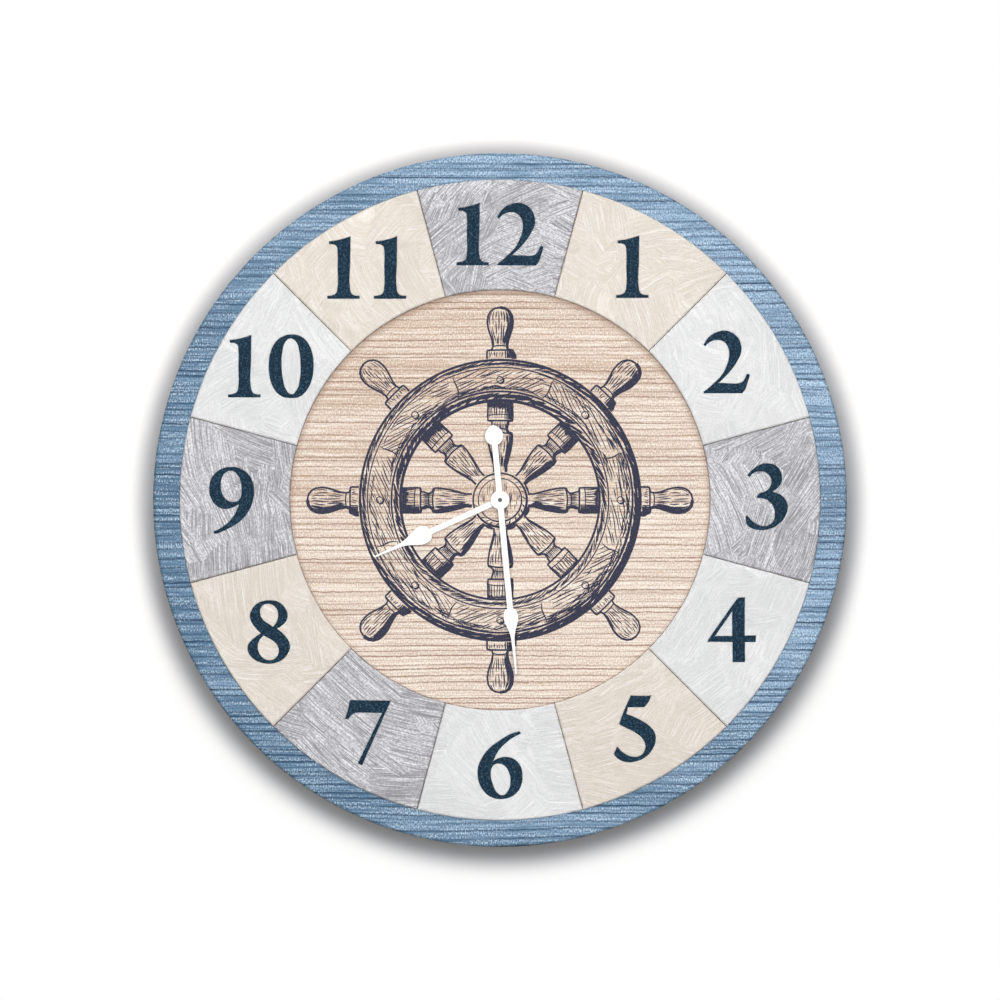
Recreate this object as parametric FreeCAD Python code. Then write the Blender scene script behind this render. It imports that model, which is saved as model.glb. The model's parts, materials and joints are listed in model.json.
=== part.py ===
"""Round wall clock with a nautical dial: a stained board, twelve keystone tiles, a wooden centre
disc and white spade hands, driven by a battery quartz movement that hangs on a steel keyhole plate.

Everything is drawn about the shaft, with x to the viewer's right, z up and y running from the
front of the clock (negative) back to the wall plane (zero). to_row_frame then moves the whole
clock so that its origin is the centre of the keyhole that the wall screw enters. All sizes are
in millimetres and all angles in degrees.
"""

import FreeCAD
import Part
import math
import os

# Dial
dial_radius = 152.4
board_thickness = 8.0
board_front_round = 1.5
board_back_bevel = 0.6
rim_width = 11.5
pocket_depth = 2.0
dial_gap = 0.2
tile_count = 12
tile_width = 48.3
tile_thickness = 3.0
tile_edge_round = 0.7
disc_thickness = 2.0
disc_edge_round = 0.35
disc_hole_clearance = 0.5

# Shaft stack: seconds arbor inside minute arbor inside hour tube inside threaded bush
seconds_arbor_radius = 0.5
minute_arbor_radius = 1.6
minute_bore_clearance = 0.15
hour_tube_wall = 0.8
arbor_running_gap = 0.1
bush_radius = 4.0
bush_flange_radius = 5.6
bush_flange_thickness = 0.8
bush_hole_clearance = 0.2
nut_across_flats = 12.0
nut_thickness = 2.4
thread_fit = 0.02
washer_radius = 7.4
washer_thickness = 0.8
bush_proud = 0.3
counterbore_gap = 1.2
counterbore_headroom = 0.3
gasket_radius = 17.0
gasket_thickness = 1.0

# Hands
hand_sheet = 0.5
hand_boss_radius = 4.1
hand_arm_width = 2.6
hand_eye_radius = 0.92
hour_hand_lift = 2.2
spade_shoulder_length = 3.8
hour_hand_reach = 60.3
hour_spade_width = 7.9
hour_taper_length = 11.2
hour_needle_length = 11.6
minute_hand_reach = 76.7
minute_spade_width = 6.4
minute_taper_length = 9.7
minute_needle_length = 15.3
tail_reach = 33.2
tail_neck_length = 3.8
tail_crown_length = 5.0
tail_blob_width = 8.0
needle_width = 1.5
needle_tip_width = 0.7
shoulder_curve_shares = ((0, 0), (0.7, 0), (1, 0.45), (1, 1))
taper_curve_shares = ((0, 0), (0, 0.28), (0.88, 0.55), (1, 1))
tail_neck_shares = ((0, 0), (0.5, 0.1), (1, 0.5), (1, 1))
tail_crown_shares = ((0, 0), (0, 0.55), (0.55, 0.78), (1, 1))
collet_radius = 3.2
collet_height = 0.9
collet_fit = 0.02
hand_spacing = 1.5
hour_hand_angle = 245.6
minute_hand_angle = 174.7

# Hanger
hanger_sheet = 1.0
hanger_width = 24.0
hanger_bend_radius = 1.5
hanger_base_below_shaft = 15.0
hanger_wall_gap = 2.5
keyhole_lift = 10.0
keyhole_radius = 3.6
keyhole_slot_radius = 1.8
keyhole_slot_length = 6.5
hanger_above_slot = 4.5
hanger_corner_radius = 6.0

# Movement case and cover
case_wall = 1.5
train_wall_gap = 1.6
train_side_gap = 0.8
cell_sunk = 0.9
case_corner_radius = 4.0
cover_thickness = 1.5
cover_lip_height = 1.4
cover_lip_width = 1.0
cover_fit = 0.15
clip_width = 5.0
clip_length = 5.0
clip_sheet = 0.9
clip_tooth = 0.5
clip_tooth_length = 1.6
clip_window_gap = 0.3
clip_side = 15.0
bay_wall = 1.0
bay_wall_end_gap = 2.0
bay_finger_cut_width = 22.0
bay_finger_cut_depth = 6.0
pivot_boss_radius = 1.4
pivot_radius = 0.35
pivot_length = 0.9
pivot_clearance = 0.05
cut_overrun = 1.0

# Cell and contacts
cell_radius = 7.1
cell_body_length = 49.5
cell_nub_radius = 2.7
cell_nub_length = 1.0
cell_edge_bevel = 0.6
cell_clearance = 0.2
contact_sheet = 0.3
contact_gap = 0.1
contact_plate_height = 9.0
contact_plate_depth = 8.0
contact_tail_width = 3.2
contact_foot_length = 5.0
contact_leaf_bend = 0.8
contact_leaf_bow = 1.7

# Gear teeth, as shares of the module and of the tooth pitch
pinion_addendum_share = 0.95
wheel_addendum_share = 0.90
dedendum_share = 1.20
pinion_root_share = 0.44
pinion_pitch_share = 0.42
pinion_tip_share = 0.14
wheel_root_share = 0.58
wheel_tip_share = 0.22

# Motion work, which turns the hour hand at a twelfth of the minute hand's speed
motion_module = 0.40
cannon_teeth = 12
motion_teeth = 36
motion_pinion_teeth = 10
hour_teeth = 40
knob_teeth = 14
motion_angle = -5.0
knob_angle = 30.0
motion_post_radius = 0.85
motion_post_clearance = 0.05

# Going train, from the stepping rotor to the drive wheel on the minute arbor
seconds_module = 0.30
seconds_pinion_teeth = 8
third_teeth = 60
third_pinion_teeth = 8
drive_teeth = 64
third_angle = 65.0
step_module = 0.30
step_pinion_teeth = 8
seconds_teeth = 40
step_angle = 170.0
rotor_module = 0.25
rotor_pinion_teeth = 8
step_teeth = 48
rotor_angle = 130.0
arbor_radius = 0.5
wheel_thickness = 1.0
pinion_overlap = 0.1
level_gap = 0.2
wheel_gap = 0.5
wheel_web = 0.5
wheel_rim_width = 1.2
wheel_hub_radius = 2.2

# Stepping motor
rotor_magnet_radius = 2.8
rotor_magnet_length = 1.7
stator_sheet = 0.8
stator_bore_gap = 0.4
stator_ring_width = 2.0
stator_arm_width = 4.0
stator_side_gap = 2.2
coil_arm_gap = 0.8
coil_wall_gap = 2.4
coil_length = 15.5
coil_core_width = 3.0
coil_core_sheet = 0.8
bobbin_flange_radius = 3.6
bobbin_flange_thickness = 0.8
bobbin_tube_wall = 0.5
coil_winding_radius = 3.2
bridge_sheet = 0.8
bridge_arm_radius = 2.0
bridge_gap = 0.4
bridge_post_radius = 1.3
bridge_peg_radius = 0.6
peg_fit = 0.05
bridge_left_post_angle = 217.0
bridge_left_post_reach = 7.2
bridge_low_post_angle = 245.0
bridge_low_post_reach = 8.8

# Circuit
board_strip_height = 11.0
board_strip_wall_gap = 1.5
board_strip_end_gap = 1.9
board_strip_coil_gap = 0.5
board_strip_sheet = 0.8
board_post_radius = 1.3
board_peg_radius = 0.6
board_peg_inset_low = 2.5
board_peg_inset_side = 5.6
crystal_radius = 1.0
crystal_length = 6.0
crystal_left = 3.0
chip_radius = 2.6
chip_height = 0.9
chip_side = 14.0

# Setting knob
knob_radius = 5.4
knob_thickness = 2.4
knob_flutes = 18
knob_flute_radius = 0.5
knob_sunk = 0.4
knob_cup_gap = 0.6
knob_cup_wall = 1.0
knob_stem_radius = 1.2
knob_stem_clearance = 0.1


def across(angle, distance, start=(0, 0)):
    """The point that lies at an angle and a distance from a start, in the dial's plane."""
    turn = math.radians(angle)
    return start[0] + distance * math.cos(turn), start[1] + distance * math.sin(turn)


def centre_distance(module, first_teeth, second_teeth):
    """Distance between the axes of two gears in mesh."""
    return module * (first_teeth + second_teeth) / 2


# Axes of the train, as places in the dial's plane
motion_distance = centre_distance(motion_module, cannon_teeth, motion_teeth)
knob_distance = centre_distance(motion_module, motion_teeth, knob_teeth)
third_distance = centre_distance(seconds_module, seconds_pinion_teeth, third_teeth)
step_distance = centre_distance(step_module, step_pinion_teeth, seconds_teeth)
rotor_distance = centre_distance(rotor_module, rotor_pinion_teeth, step_teeth)
hour_module = 2 * motion_distance / (motion_pinion_teeth + hour_teeth)
drive_module = 2 * third_distance / (third_pinion_teeth + drive_teeth)
shaft_place = (0, 0)
motion_place = across(motion_angle, motion_distance)
knob_place = across(knob_angle, knob_distance, motion_place)
third_place = across(third_angle, third_distance)
step_place = across(step_angle, step_distance)
rotor_place = across(rotor_angle, rotor_distance, step_place)
bridge_left_place = across(bridge_left_post_angle, bridge_left_post_reach, rotor_place)
bridge_low_place = across(bridge_low_post_angle, bridge_low_post_reach, step_place)
bridge_post_places = (bridge_left_place, bridge_low_place)

# Dial and shaft radii
pocket_radius = dial_radius - rim_width
tile_outer_radius = pocket_radius - dial_gap
tile_inner_radius = tile_outer_radius - tile_width
disc_radius = tile_inner_radius - dial_gap
minute_bore_radius = seconds_arbor_radius + minute_bore_clearance
hour_bore_radius = minute_arbor_radius + arbor_running_gap
hour_tube_radius = hour_bore_radius + hour_tube_wall
bush_bore_radius = hour_tube_radius + arbor_running_gap
bush_hole_radius = bush_radius + bush_hole_clearance
counterbore_radius = washer_radius + counterbore_gap
pivot_hole_radius = pivot_radius + pivot_clearance

# Room inside the case: as wide as the cell with its contacts, or as the knob's well if that is wider
knob_well_radius = knob_radius + knob_cup_gap
knob_well_outer = knob_well_radius + knob_cup_wall
drive_tip_radius = (drive_teeth / 2 + wheel_addendum_share) * drive_module
bay_length = cell_body_length + cell_nub_length + 2 * (contact_sheet + contact_gap) + contact_leaf_bow
bay_height = 2 * (cell_radius + cell_clearance)
case_inner_half = max(bay_length / 2, knob_place[0] + knob_well_outer + train_side_gap)
case_half = case_inner_half + case_wall
train_bottom = -drive_tip_radius - train_wall_gap
bay_top = train_bottom - bay_wall
bay_bottom = bay_top - bay_height
case_bottom = bay_bottom - case_wall
cell_rise = bay_bottom + bay_height / 2
keyhole_rise = case_half + keyhole_lift
coil_rise = case_inner_half - coil_wall_gap - bobbin_flange_radius
coil_left = -case_inner_half + stator_side_gap + stator_arm_width + coil_arm_gap
coil_right = coil_left + coil_length
board_strip_half_length = case_inner_half - board_strip_end_gap
board_strip_bottom = case_inner_half - board_strip_wall_gap - board_strip_height
board_peg_rise = board_strip_bottom + board_peg_inset_low
board_peg_side = board_strip_half_length - board_peg_inset_side

# Places along y, from the wall plane forwards
case_rim = -cover_thickness
case_floor = -cell_sunk - bay_height
case_front = case_floor - case_wall
cell_depth = case_floor + bay_height / 2
hanger_front = case_front - hanger_sheet
board_back = hanger_front - gasket_thickness
board_front = board_back - board_thickness
pocket_floor = board_front + pocket_depth
disc_front = pocket_floor - disc_thickness
tile_front = pocket_floor - tile_thickness
counterbore_depth = washer_thickness + nut_thickness + bush_proud + counterbore_headroom
counterbore_floor = pocket_floor + counterbore_depth
washer_front = counterbore_floor - washer_thickness
nut_front = washer_front - nut_thickness
bush_front = nut_front - bush_proud
hour_hand_back = disc_front - hour_hand_lift
hour_hand_front = hour_hand_back - hand_sheet
minute_hand_back = hour_hand_front - hand_spacing
minute_hand_front = minute_hand_back - hand_sheet
hanger_tab_back = -hanger_wall_gap
hanger_tab_front = hanger_tab_back - hanger_sheet

# Gear levels, each the front face of a wheel, from the case floor backwards
hour_level = case_floor + bush_flange_thickness + level_gap
motion_level = hour_level + wheel_thickness + level_gap + pinion_overlap
drive_level = motion_level + wheel_thickness + wheel_gap
third_level = drive_level + wheel_thickness + wheel_gap
seconds_level = third_level + wheel_thickness + wheel_gap
step_level = seconds_level + wheel_thickness + wheel_gap
boss_end = step_level + wheel_thickness + wheel_gap
bridge_level = drive_level + wheel_thickness + bridge_gap
magnet_level = bridge_level + bridge_sheet + level_gap
stator_level = magnet_level + (rotor_magnet_length - stator_sheet) / 2
coil_level = stator_level - coil_core_sheet / 2
circuit_front = coil_level + bobbin_flange_radius + board_strip_coil_gap
circuit_back = circuit_front + board_strip_sheet
knob_well_floor = -knob_sunk - knob_thickness - knob_cup_gap


def rod(radius, front, back, place=(0, 0)):
    """A cylinder along y between two levels."""
    start = FreeCAD.Vector(place[0], front, place[1])
    return Part.makeCylinder(radius, back - front, start, FreeCAD.Vector(0, 1, 0))


def ring(outer, inner, front, back, place=(0, 0)):
    """A tube along y between two levels."""
    bore = rod(inner, front - cut_overrun, back + cut_overrun, place)
    return rod(outer, front, back, place).cut(bore)


def block(x_low, x_high, front, back, z_low, z_high):
    """A box between two corners."""
    corner = FreeCAD.Vector(x_low, front, z_low)
    return Part.makeBox(x_high - x_low, back - front, z_high - z_low, corner)


def joined(shapes):
    """One solid from pieces that overlap or touch."""
    return shapes[0].multiFuse(shapes[1:]).removeSplitter()


def prism(points, front, back):
    """A straight-sided solid between two levels, from its outline in the dial's plane."""
    corners = [FreeCAD.Vector(x, front, z) for x, z in points]
    outline = Part.makePolygon(corners + corners[:1])
    return Part.Face(outline).extrude(FreeCAD.Vector(0, back - front, 0))


def rounded_slab(half_width, z_low, z_high, radius, front, back):
    """A rectangular slab whose four corners in the dial's plane are rounded."""
    slab = block(-half_width, half_width, front, back, z_low, z_high)
    corners = [edge for edge in slab.Edges if abs(edge.tangentAt(edge.FirstParameter).y) > 0.5]
    return slab.makeFillet(radius, corners)


def turned_profile(points):
    """A solid of revolution about the shaft, from (radius, y) points."""
    corners = [FreeCAD.Vector(radius, y, 0) for radius, y in points]
    outline = Part.makePolygon(corners + corners[:1])
    return Part.Face(outline).revolve(FreeCAD.Vector(0, 0, 0), FreeCAD.Vector(0, 1, 0), 360)


def circle_edges(solid, radius, level):
    """The round edges of a solid that have this radius about the shaft and lie at this level."""
    return [
        edge
        for edge in solid.Edges
        if isinstance(edge.Curve, Part.Circle)
        and math.isclose(edge.Curve.Radius, radius, rel_tol=1e-6)
        and math.isclose(edge.Curve.Center.y, level, rel_tol=1e-6)
    ]


def bent_strip(points, sheet, bend_radius, plane):
    """The face of a sheet-metal strip seen edge on: straight runs joined by round bends.

    plane turns a pair of numbers into a point in space.
    """
    middle = bend_radius + sheet / 2
    sides = {1: [], -1: []}
    starts = {1: None, -1: None}

    def offset(point, direction, side):
        return point[0] - direction[1] * side * sheet / 2, point[1] + direction[0] * side * sheet / 2

    def unit(first, second):
        length = math.dist(first, second)
        return (second[0] - first[0]) / length, (second[1] - first[1]) / length

    for side in sides:
        starts[side] = offset(points[0], unit(points[0], points[1]), side)
    for before, corner, after in zip(points, points[1:], points[2:]):
        arriving, leaving = unit(before, corner), unit(corner, after)
        bend = math.atan2(
            arriving[0] * leaving[1] - arriving[1] * leaving[0],
            arriving[0] * leaving[0] + arriving[1] * leaving[1],
        )
        inside = 1 if bend > 0 else -1
        trim = middle * math.tan(abs(bend) / 2)
        enter = corner[0] - arriving[0] * trim, corner[1] - arriving[1] * trim
        leave = corner[0] + leaving[0] * trim, corner[1] + leaving[1] * trim
        hub = enter[0] - arriving[1] * inside * middle, enter[1] + arriving[0] * inside * middle
        half_way = unit(hub, corner)
        for side, edges in sides.items():
            radius = middle - side * inside * sheet / 2
            first, last = offset(enter, arriving, side), offset(leave, leaving, side)
            crown = hub[0] + half_way[0] * radius, hub[1] + half_way[1] * radius
            edges.append(Part.LineSegment(plane(starts[side]), plane(first)).toShape())
            edges.append(Part.Arc(plane(first), plane(crown), plane(last)).toShape())
            starts[side] = last
    ends = {side: offset(points[-1], unit(points[-2], points[-1]), side) for side in sides}
    heads = {side: offset(points[0], unit(points[0], points[1]), side) for side in sides}
    for side, edges in sides.items():
        edges.append(Part.LineSegment(plane(starts[side]), plane(ends[side])).toShape())
    caps = [
        Part.LineSegment(plane(heads[1]), plane(heads[-1])).toShape(),
        Part.LineSegment(plane(ends[1]), plane(ends[-1])).toShape(),
    ]
    return Part.Face(Part.Wire(Part.__sortEdges__(sides[1] + sides[-1] + caps)))


def gear(teeth, module, addendum_share, tooth_shares, phase, front, back, place):
    """A toothed disc whose first tooth points at the angle phase.

    tooth_shares holds (height, width) pairs up one flank: height from -1 at the root through 0
    on the pitch circle to 1 at the tip, and width as a share of the tooth pitch.
    """
    heights = {-1: -dedendum_share * module, 0: 0, 1: addendum_share * module}
    pitch = 2 * math.pi / teeth
    points = []
    for tooth in range(teeth):
        middle = math.radians(phase) + tooth * pitch
        flank = [(teeth * module / 2 + heights[height], width / 2) for height, width in tooth_shares]
        rising = [(radius, -half) for radius, half in flank]
        falling = [(radius, half) for radius, half in flank[::-1]]
        for radius, share in rising + falling:
            angle = middle + share * pitch
            points.append((place[0] + radius * math.cos(angle), place[1] + radius * math.sin(angle)))
    return prism(points, front, back)


def pinion(teeth, module, phase, front, back, place):
    """A small gear with pitch-circle corners on its flanks."""
    shares = [(-1, pinion_root_share), (0, pinion_pitch_share), (1, pinion_tip_share)]
    return gear(teeth, module, pinion_addendum_share, shares, phase, front, back, place)


def wheel(teeth, module, phase, level, place):
    """A large gear with a thinned web between its rim and its hub."""
    shares = [(-1, wheel_root_share), (1, wheel_tip_share)]
    back = level + wheel_thickness
    disc = gear(teeth, module, wheel_addendum_share, shares, phase, level, back, place)
    rim_radius = (teeth / 2 - dedendum_share) * module - wheel_rim_width
    if rim_radius <= wheel_hub_radius + wheel_web:
        return disc
    return disc.cut(ring(rim_radius, wheel_hub_radius, level + wheel_web, back + cut_overrun, place))


def meshed_phase(driver_teeth, driver_phase, driven_teeth, direction):
    """Phase that puts a gap of the driven gear where the driver has a tooth.

    direction is the angle of the line from the driver's axis to the driven gear's.
    """
    lead = (driver_phase - direction) * driver_teeth / driven_teeth
    return direction + 180 + 180 / driven_teeth - lead


def arbor_ends(front, back, place):
    """A thin spindle with a pivot at each end."""
    body = rod(arbor_radius, front, back, place)
    pivots = rod(pivot_radius, front - pivot_length, back + pivot_length, place)
    return body.fuse(pivots)


def make_backboard():
    """Turned board: a raised rim round a shallow pocket, with a counterbore for the shaft nut."""
    board = turned_profile(
        [
            (bush_hole_radius, board_back),
            (dial_radius, board_back),
            (dial_radius, board_front),
            (pocket_radius, board_front),
            (pocket_radius, pocket_floor),
            (counterbore_radius, pocket_floor),
            (counterbore_radius, counterbore_floor),
            (bush_hole_radius, counterbore_floor),
        ]
    )
    board = board.makeFillet(board_front_round, circle_edges(board, dial_radius, board_front))
    return board.makeChamfer(board_back_bevel, circle_edges(board, dial_radius, board_back))


def turned(solid, angle):
    """The solid, turned clockwise about the shaft as the viewer sees it."""
    solid.rotate(FreeCAD.Vector(0, 0, 0), FreeCAD.Vector(0, 1, 0), angle)
    return solid


def make_tile(number):
    """One keystone tile of the numeral ring, with its front edges rounded."""
    half_turn = 180 / tile_count
    reach = 2 * tile_outer_radius
    front, back = tile_front - cut_overrun, pocket_floor + cut_overrun
    sector = prism([(0, 0), across(90 - half_turn, reach), across(90 + half_turn, reach)], front, back)
    tile = ring(tile_outer_radius, tile_inner_radius, tile_front, pocket_floor).common(sector)
    for side in (-1, 1):
        joint = block(-dial_gap / 2, dial_gap / 2, front, back, 0, reach)
        tile = tile.cut(turned(joint, side * half_turn))
    front_edges = [
        edge
        for edge in tile.Edges
        if all(math.isclose(vertex.Y, tile_front, rel_tol=1e-6) for vertex in edge.Vertexes)
    ]
    return turned(tile.makeFillet(tile_edge_round, front_edges), number * 360 / tile_count)


def make_centre_disc():
    """Thin wooden disc that covers the nut; only the hour tube passes through it."""
    hole = hour_tube_radius + disc_hole_clearance
    disc = ring(disc_radius, hole, disc_front, pocket_floor)
    return disc.makeFillet(disc_edge_round, circle_edges(disc, disc_radius, disc_front))


def upright(x, z):
    """A point in the dial's plane."""
    return FreeCAD.Vector(x, 0, z)


def straight(start, end):
    """A straight edge between two (x, z) points."""
    return Part.LineSegment(upright(*start), upright(*end)).toShape()


def flowing(start, end, shares):
    """A smooth edge whose poles are shares of the way across and the way along from start to end."""
    across_run, along_run = end[0] - start[0], end[1] - start[1]
    curve = Part.BezierCurve()
    curve.setPoles([upright(start[0] + u * across_run, start[1] + v * along_run) for u, v in shares])
    return curve.toShape()


def boss_meeting():
    """Height at which the straight side of a hand's arm leaves the round boss."""
    return math.sqrt(hand_boss_radius**2 - (hand_arm_width / 2) ** 2)


def hand_half(reach, needle_length, taper_length, spade_width):
    """The right-hand outline of a spade hand that points up, from its boss to its tip."""
    needle_start = reach - needle_length
    spade_widest = needle_start - taper_length
    spade_start = spade_widest - spade_shoulder_length
    arm, spade = hand_arm_width / 2, spade_width / 2
    needle, tip = needle_width / 2, needle_tip_width / 2
    return [
        straight((arm, boss_meeting()), (arm, spade_start)),
        flowing((arm, spade_start), (spade, spade_widest), shoulder_curve_shares),
        flowing((spade, spade_widest), (needle, needle_start), taper_curve_shares),
        straight((needle, needle_start), (tip, reach)),
        straight((tip, reach), (0, reach)),
    ]


def tail_half():
    """The right-hand outline of the minute hand's counterweight, from its boss to its point."""
    arm, blob = hand_arm_width / 2, tail_blob_width / 2
    widest = -tail_reach + tail_crown_length
    neck = widest + tail_neck_length
    return [
        straight((arm, -boss_meeting()), (arm, neck)),
        flowing((arm, neck), (blob, widest), tail_neck_shares),
        flowing((blob, widest), (0, -tail_reach), tail_crown_shares),
    ]


def hand_plate(right_half, boss_arcs, back, eye_radius, angle):
    """A stamped hand: its outline mirrored, given its thickness, pierced and turned to its hour."""
    mirrored = [edge.mirror(FreeCAD.Vector(0, 0, 0), FreeCAD.Vector(1, 0, 0)) for edge in right_half]
    outline = Part.Wire(Part.__sortEdges__(right_half + mirrored + boss_arcs))
    plate = Part.Face(outline).extrude(FreeCAD.Vector(0, hand_sheet, 0))
    plate.translate(FreeCAD.Vector(0, back - hand_sheet, 0))
    plate = plate.cut(rod(eye_radius, back - hand_sheet - cut_overrun, back + cut_overrun))
    return turned(plate, angle)


def boss_arc(start, middle, end):
    """Part of the round boss, through three (x, z) points."""
    return Part.Arc(upright(*start), upright(*middle), upright(*end)).toShape()


def make_hour_hand():
    """Short spade hand."""
    arm, top = hand_arm_width / 2, boss_meeting()
    half = hand_half(hour_hand_reach, hour_needle_length, hour_taper_length, hour_spade_width)
    around = boss_arc((arm, top), (0, -hand_boss_radius), (-arm, top))
    return hand_plate(half, [around], hour_hand_back, hour_tube_radius + collet_fit, hour_hand_angle)


def make_minute_hand():
    """Long spade hand with a round counterweight on its tail."""
    arm, top = hand_arm_width / 2, boss_meeting()
    half = hand_half(minute_hand_reach, minute_needle_length, minute_taper_length, minute_spade_width)
    arcs = [
        boss_arc((side * arm, top), (side * hand_boss_radius, 0), (side * arm, -top)) for side in (-1, 1)
    ]
    return hand_plate(half + tail_half(), arcs, minute_hand_back, hand_eye_radius, minute_hand_angle)


def make_hour_hand_collet():
    """Brass ring behind the hour hand that grips the hour tube."""
    inner = hour_tube_radius + collet_fit
    return ring(collet_radius, inner, hour_hand_back, hour_hand_back + collet_height)


def make_minute_hand_collet():
    """Brass ring behind the minute hand that grips the minute arbor."""
    inner = minute_arbor_radius + collet_fit
    return ring(collet_radius, inner, minute_hand_back, minute_hand_back + collet_height)


def make_wall_hanger():
    """Bent steel plate clamped under the case, with a keyhole in its raised tab."""
    arm_level = case_half + hanger_bend_radius + hanger_sheet / 2
    tab_top = keyhole_rise + keyhole_slot_length + hanger_above_slot
    runs = [
        (hanger_front + hanger_sheet / 2, -hanger_base_below_shaft),
        (hanger_front + hanger_sheet / 2, arm_level),
        (hanger_tab_back - hanger_sheet / 2, arm_level),
        (hanger_tab_back - hanger_sheet / 2, tab_top),
    ]
    left = -hanger_width / 2
    face = bent_strip(runs, hanger_sheet, hanger_bend_radius, lambda run: FreeCAD.Vector(left, *run))
    strip = face.extrude(FreeCAD.Vector(hanger_width, 0, 0))
    ends = (-hanger_base_below_shaft, tab_top)
    corners = [
        edge
        for edge in strip.Edges
        if any(all(math.isclose(vertex.Z, end, rel_tol=1e-6) for vertex in edge.Vertexes) for end in ends)
        and math.isclose(edge.Length, hanger_sheet, rel_tol=1e-6)
    ]
    strip = strip.makeFillet(hanger_corner_radius, corners)
    front, back = hanger_tab_front - cut_overrun, hanger_tab_back + cut_overrun
    slot_end = keyhole_rise + keyhole_slot_length
    keyhole = rod(keyhole_radius, front, back, (0, keyhole_rise)).multiFuse(
        [
            block(-keyhole_slot_radius, keyhole_slot_radius, front, back, keyhole_rise, slot_end),
            rod(keyhole_slot_radius, front, back, (0, slot_end)),
        ]
    )
    shaft_hole = rod(bush_hole_radius, hanger_front - cut_overrun, case_front + cut_overrun)
    return strip.cut(keyhole).cut(shaft_hole)


def make_centre_bush():
    """Threaded brass tube that holds the movement to the board; its thread is left plain."""
    return joined(
        [
            ring(bush_radius, bush_bore_radius, bush_front, case_floor),
            ring(bush_flange_radius, bush_bore_radius, case_floor, case_floor + bush_flange_thickness),
        ]
    )


def make_hex_nut():
    """Thin hexagonal nut with bevelled corners."""
    corner = nut_across_flats / math.sqrt(3)
    body = prism([across(60 * side, corner) for side in range(6)], nut_front, washer_front)
    bevel = corner - nut_across_flats / 2
    keep = turned_profile(
        [
            (0, nut_front),
            (corner - bevel, nut_front),
            (corner, nut_front + bevel),
            (corner, washer_front),
            (0, washer_front),
        ]
    )
    thread = rod(bush_radius + thread_fit, nut_front - cut_overrun, washer_front + cut_overrun)
    return body.common(keep).cut(thread)


def clip_places():
    """Left edge and case side of each cover clip: two along the top wall, two along the bay wall."""
    for middle in (-clip_side, clip_side):
        yield middle - clip_width / 2, case_inner_half, 1
        yield middle - clip_width / 2, train_bottom, -1


def clip_window(left, wall, outwards):
    """The window in the case that one clip's tooth snaps into."""
    front = case_rim - clip_length
    thickness = case_wall if outwards > 0 else bay_wall
    low, high = sorted((wall - outwards * cut_overrun, wall + outwards * (thickness + cut_overrun)))
    back = front + clip_tooth_length + clip_window_gap
    right = left + clip_width + clip_window_gap
    return block(left - clip_window_gap, right, front - clip_window_gap, back, low, high)


def cover_clip(left, wall, outwards):
    """One springy tongue of the cover, with the tooth at its end."""
    front = case_rim - clip_length
    face = wall - outwards * cover_fit
    low, high = sorted((face, face - outwards * clip_sheet))
    tongue = block(left, left + clip_width, front, case_rim, low, high)
    tip = face + outwards * (cover_fit + clip_tooth)
    side = [(front, face), (front + clip_tooth_length, tip), (front + clip_tooth_length, face)]
    corners = [FreeCAD.Vector(left, y, z) for y, z in side]
    tooth = Part.Face(Part.makePolygon(corners + corners[:1])).extrude(FreeCAD.Vector(clip_width, 0, 0))
    return tongue.fuse(tooth)


def make_movement_case():
    """Moulded case: a square tray with a battery trough, pivot posts and a hole for the bush."""
    inner_corner = case_corner_radius - case_wall
    open_back = case_rim + cut_overrun
    outer = rounded_slab(case_half, case_bottom, case_half, case_corner_radius, case_front, case_rim)
    train_room = rounded_slab(
        case_inner_half, train_bottom, case_inner_half, inner_corner, case_floor, open_back
    )
    cell_room = rounded_slab(case_inner_half, bay_bottom, bay_top, inner_corner, case_floor, open_back)
    case = outer.cut(train_room).cut(cell_room)
    notch_front = cell_depth - contact_plate_depth / 2
    notch_low, notch_high = bay_top - inner_corner, train_bottom + inner_corner
    for side in (-1, 1):
        inside, outside = sorted((side * (case_inner_half - bay_wall_end_gap), side * case_inner_half))
        case = case.cut(block(inside, outside, notch_front, open_back, notch_low, notch_high))
    finger_half = bay_finger_cut_width / 2
    finger_front, finger_top = case_rim - bay_finger_cut_depth, bay_bottom + cut_overrun
    case = case.cut(
        block(-finger_half, finger_half, finger_front, open_back, case_bottom - cut_overrun, finger_top)
    )
    for left, wall, outwards in clip_places():
        case = case.cut(clip_window(left, wall, outwards))
    third_post_end = drive_level - pinion_overlap - level_gap
    knob_post_end = motion_level - pinion_overlap - level_gap
    posts = [
        rod(motion_post_radius, case_floor, motion_level + wheel_thickness + level_gap, motion_place),
        rod(pivot_boss_radius, case_floor, third_post_end, third_place),
        rod(pivot_boss_radius, case_floor, knob_post_end, knob_place),
    ]
    for place in bridge_post_places:
        posts.append(rod(bridge_post_radius, case_floor, bridge_level, place))
        posts.append(rod(bridge_peg_radius, bridge_level, bridge_level + bridge_sheet, place))
    case = joined([case, *posts])
    hole_depth = pivot_length + level_gap
    for post_end, place in ((third_post_end, third_place), (knob_post_end, knob_place)):
        case = case.cut(rod(pivot_hole_radius, post_end - hole_depth, post_end + cut_overrun, place))
    return case.cut(rod(bush_radius + thread_fit, case_front - cut_overrun, case_floor + cut_overrun))


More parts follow.
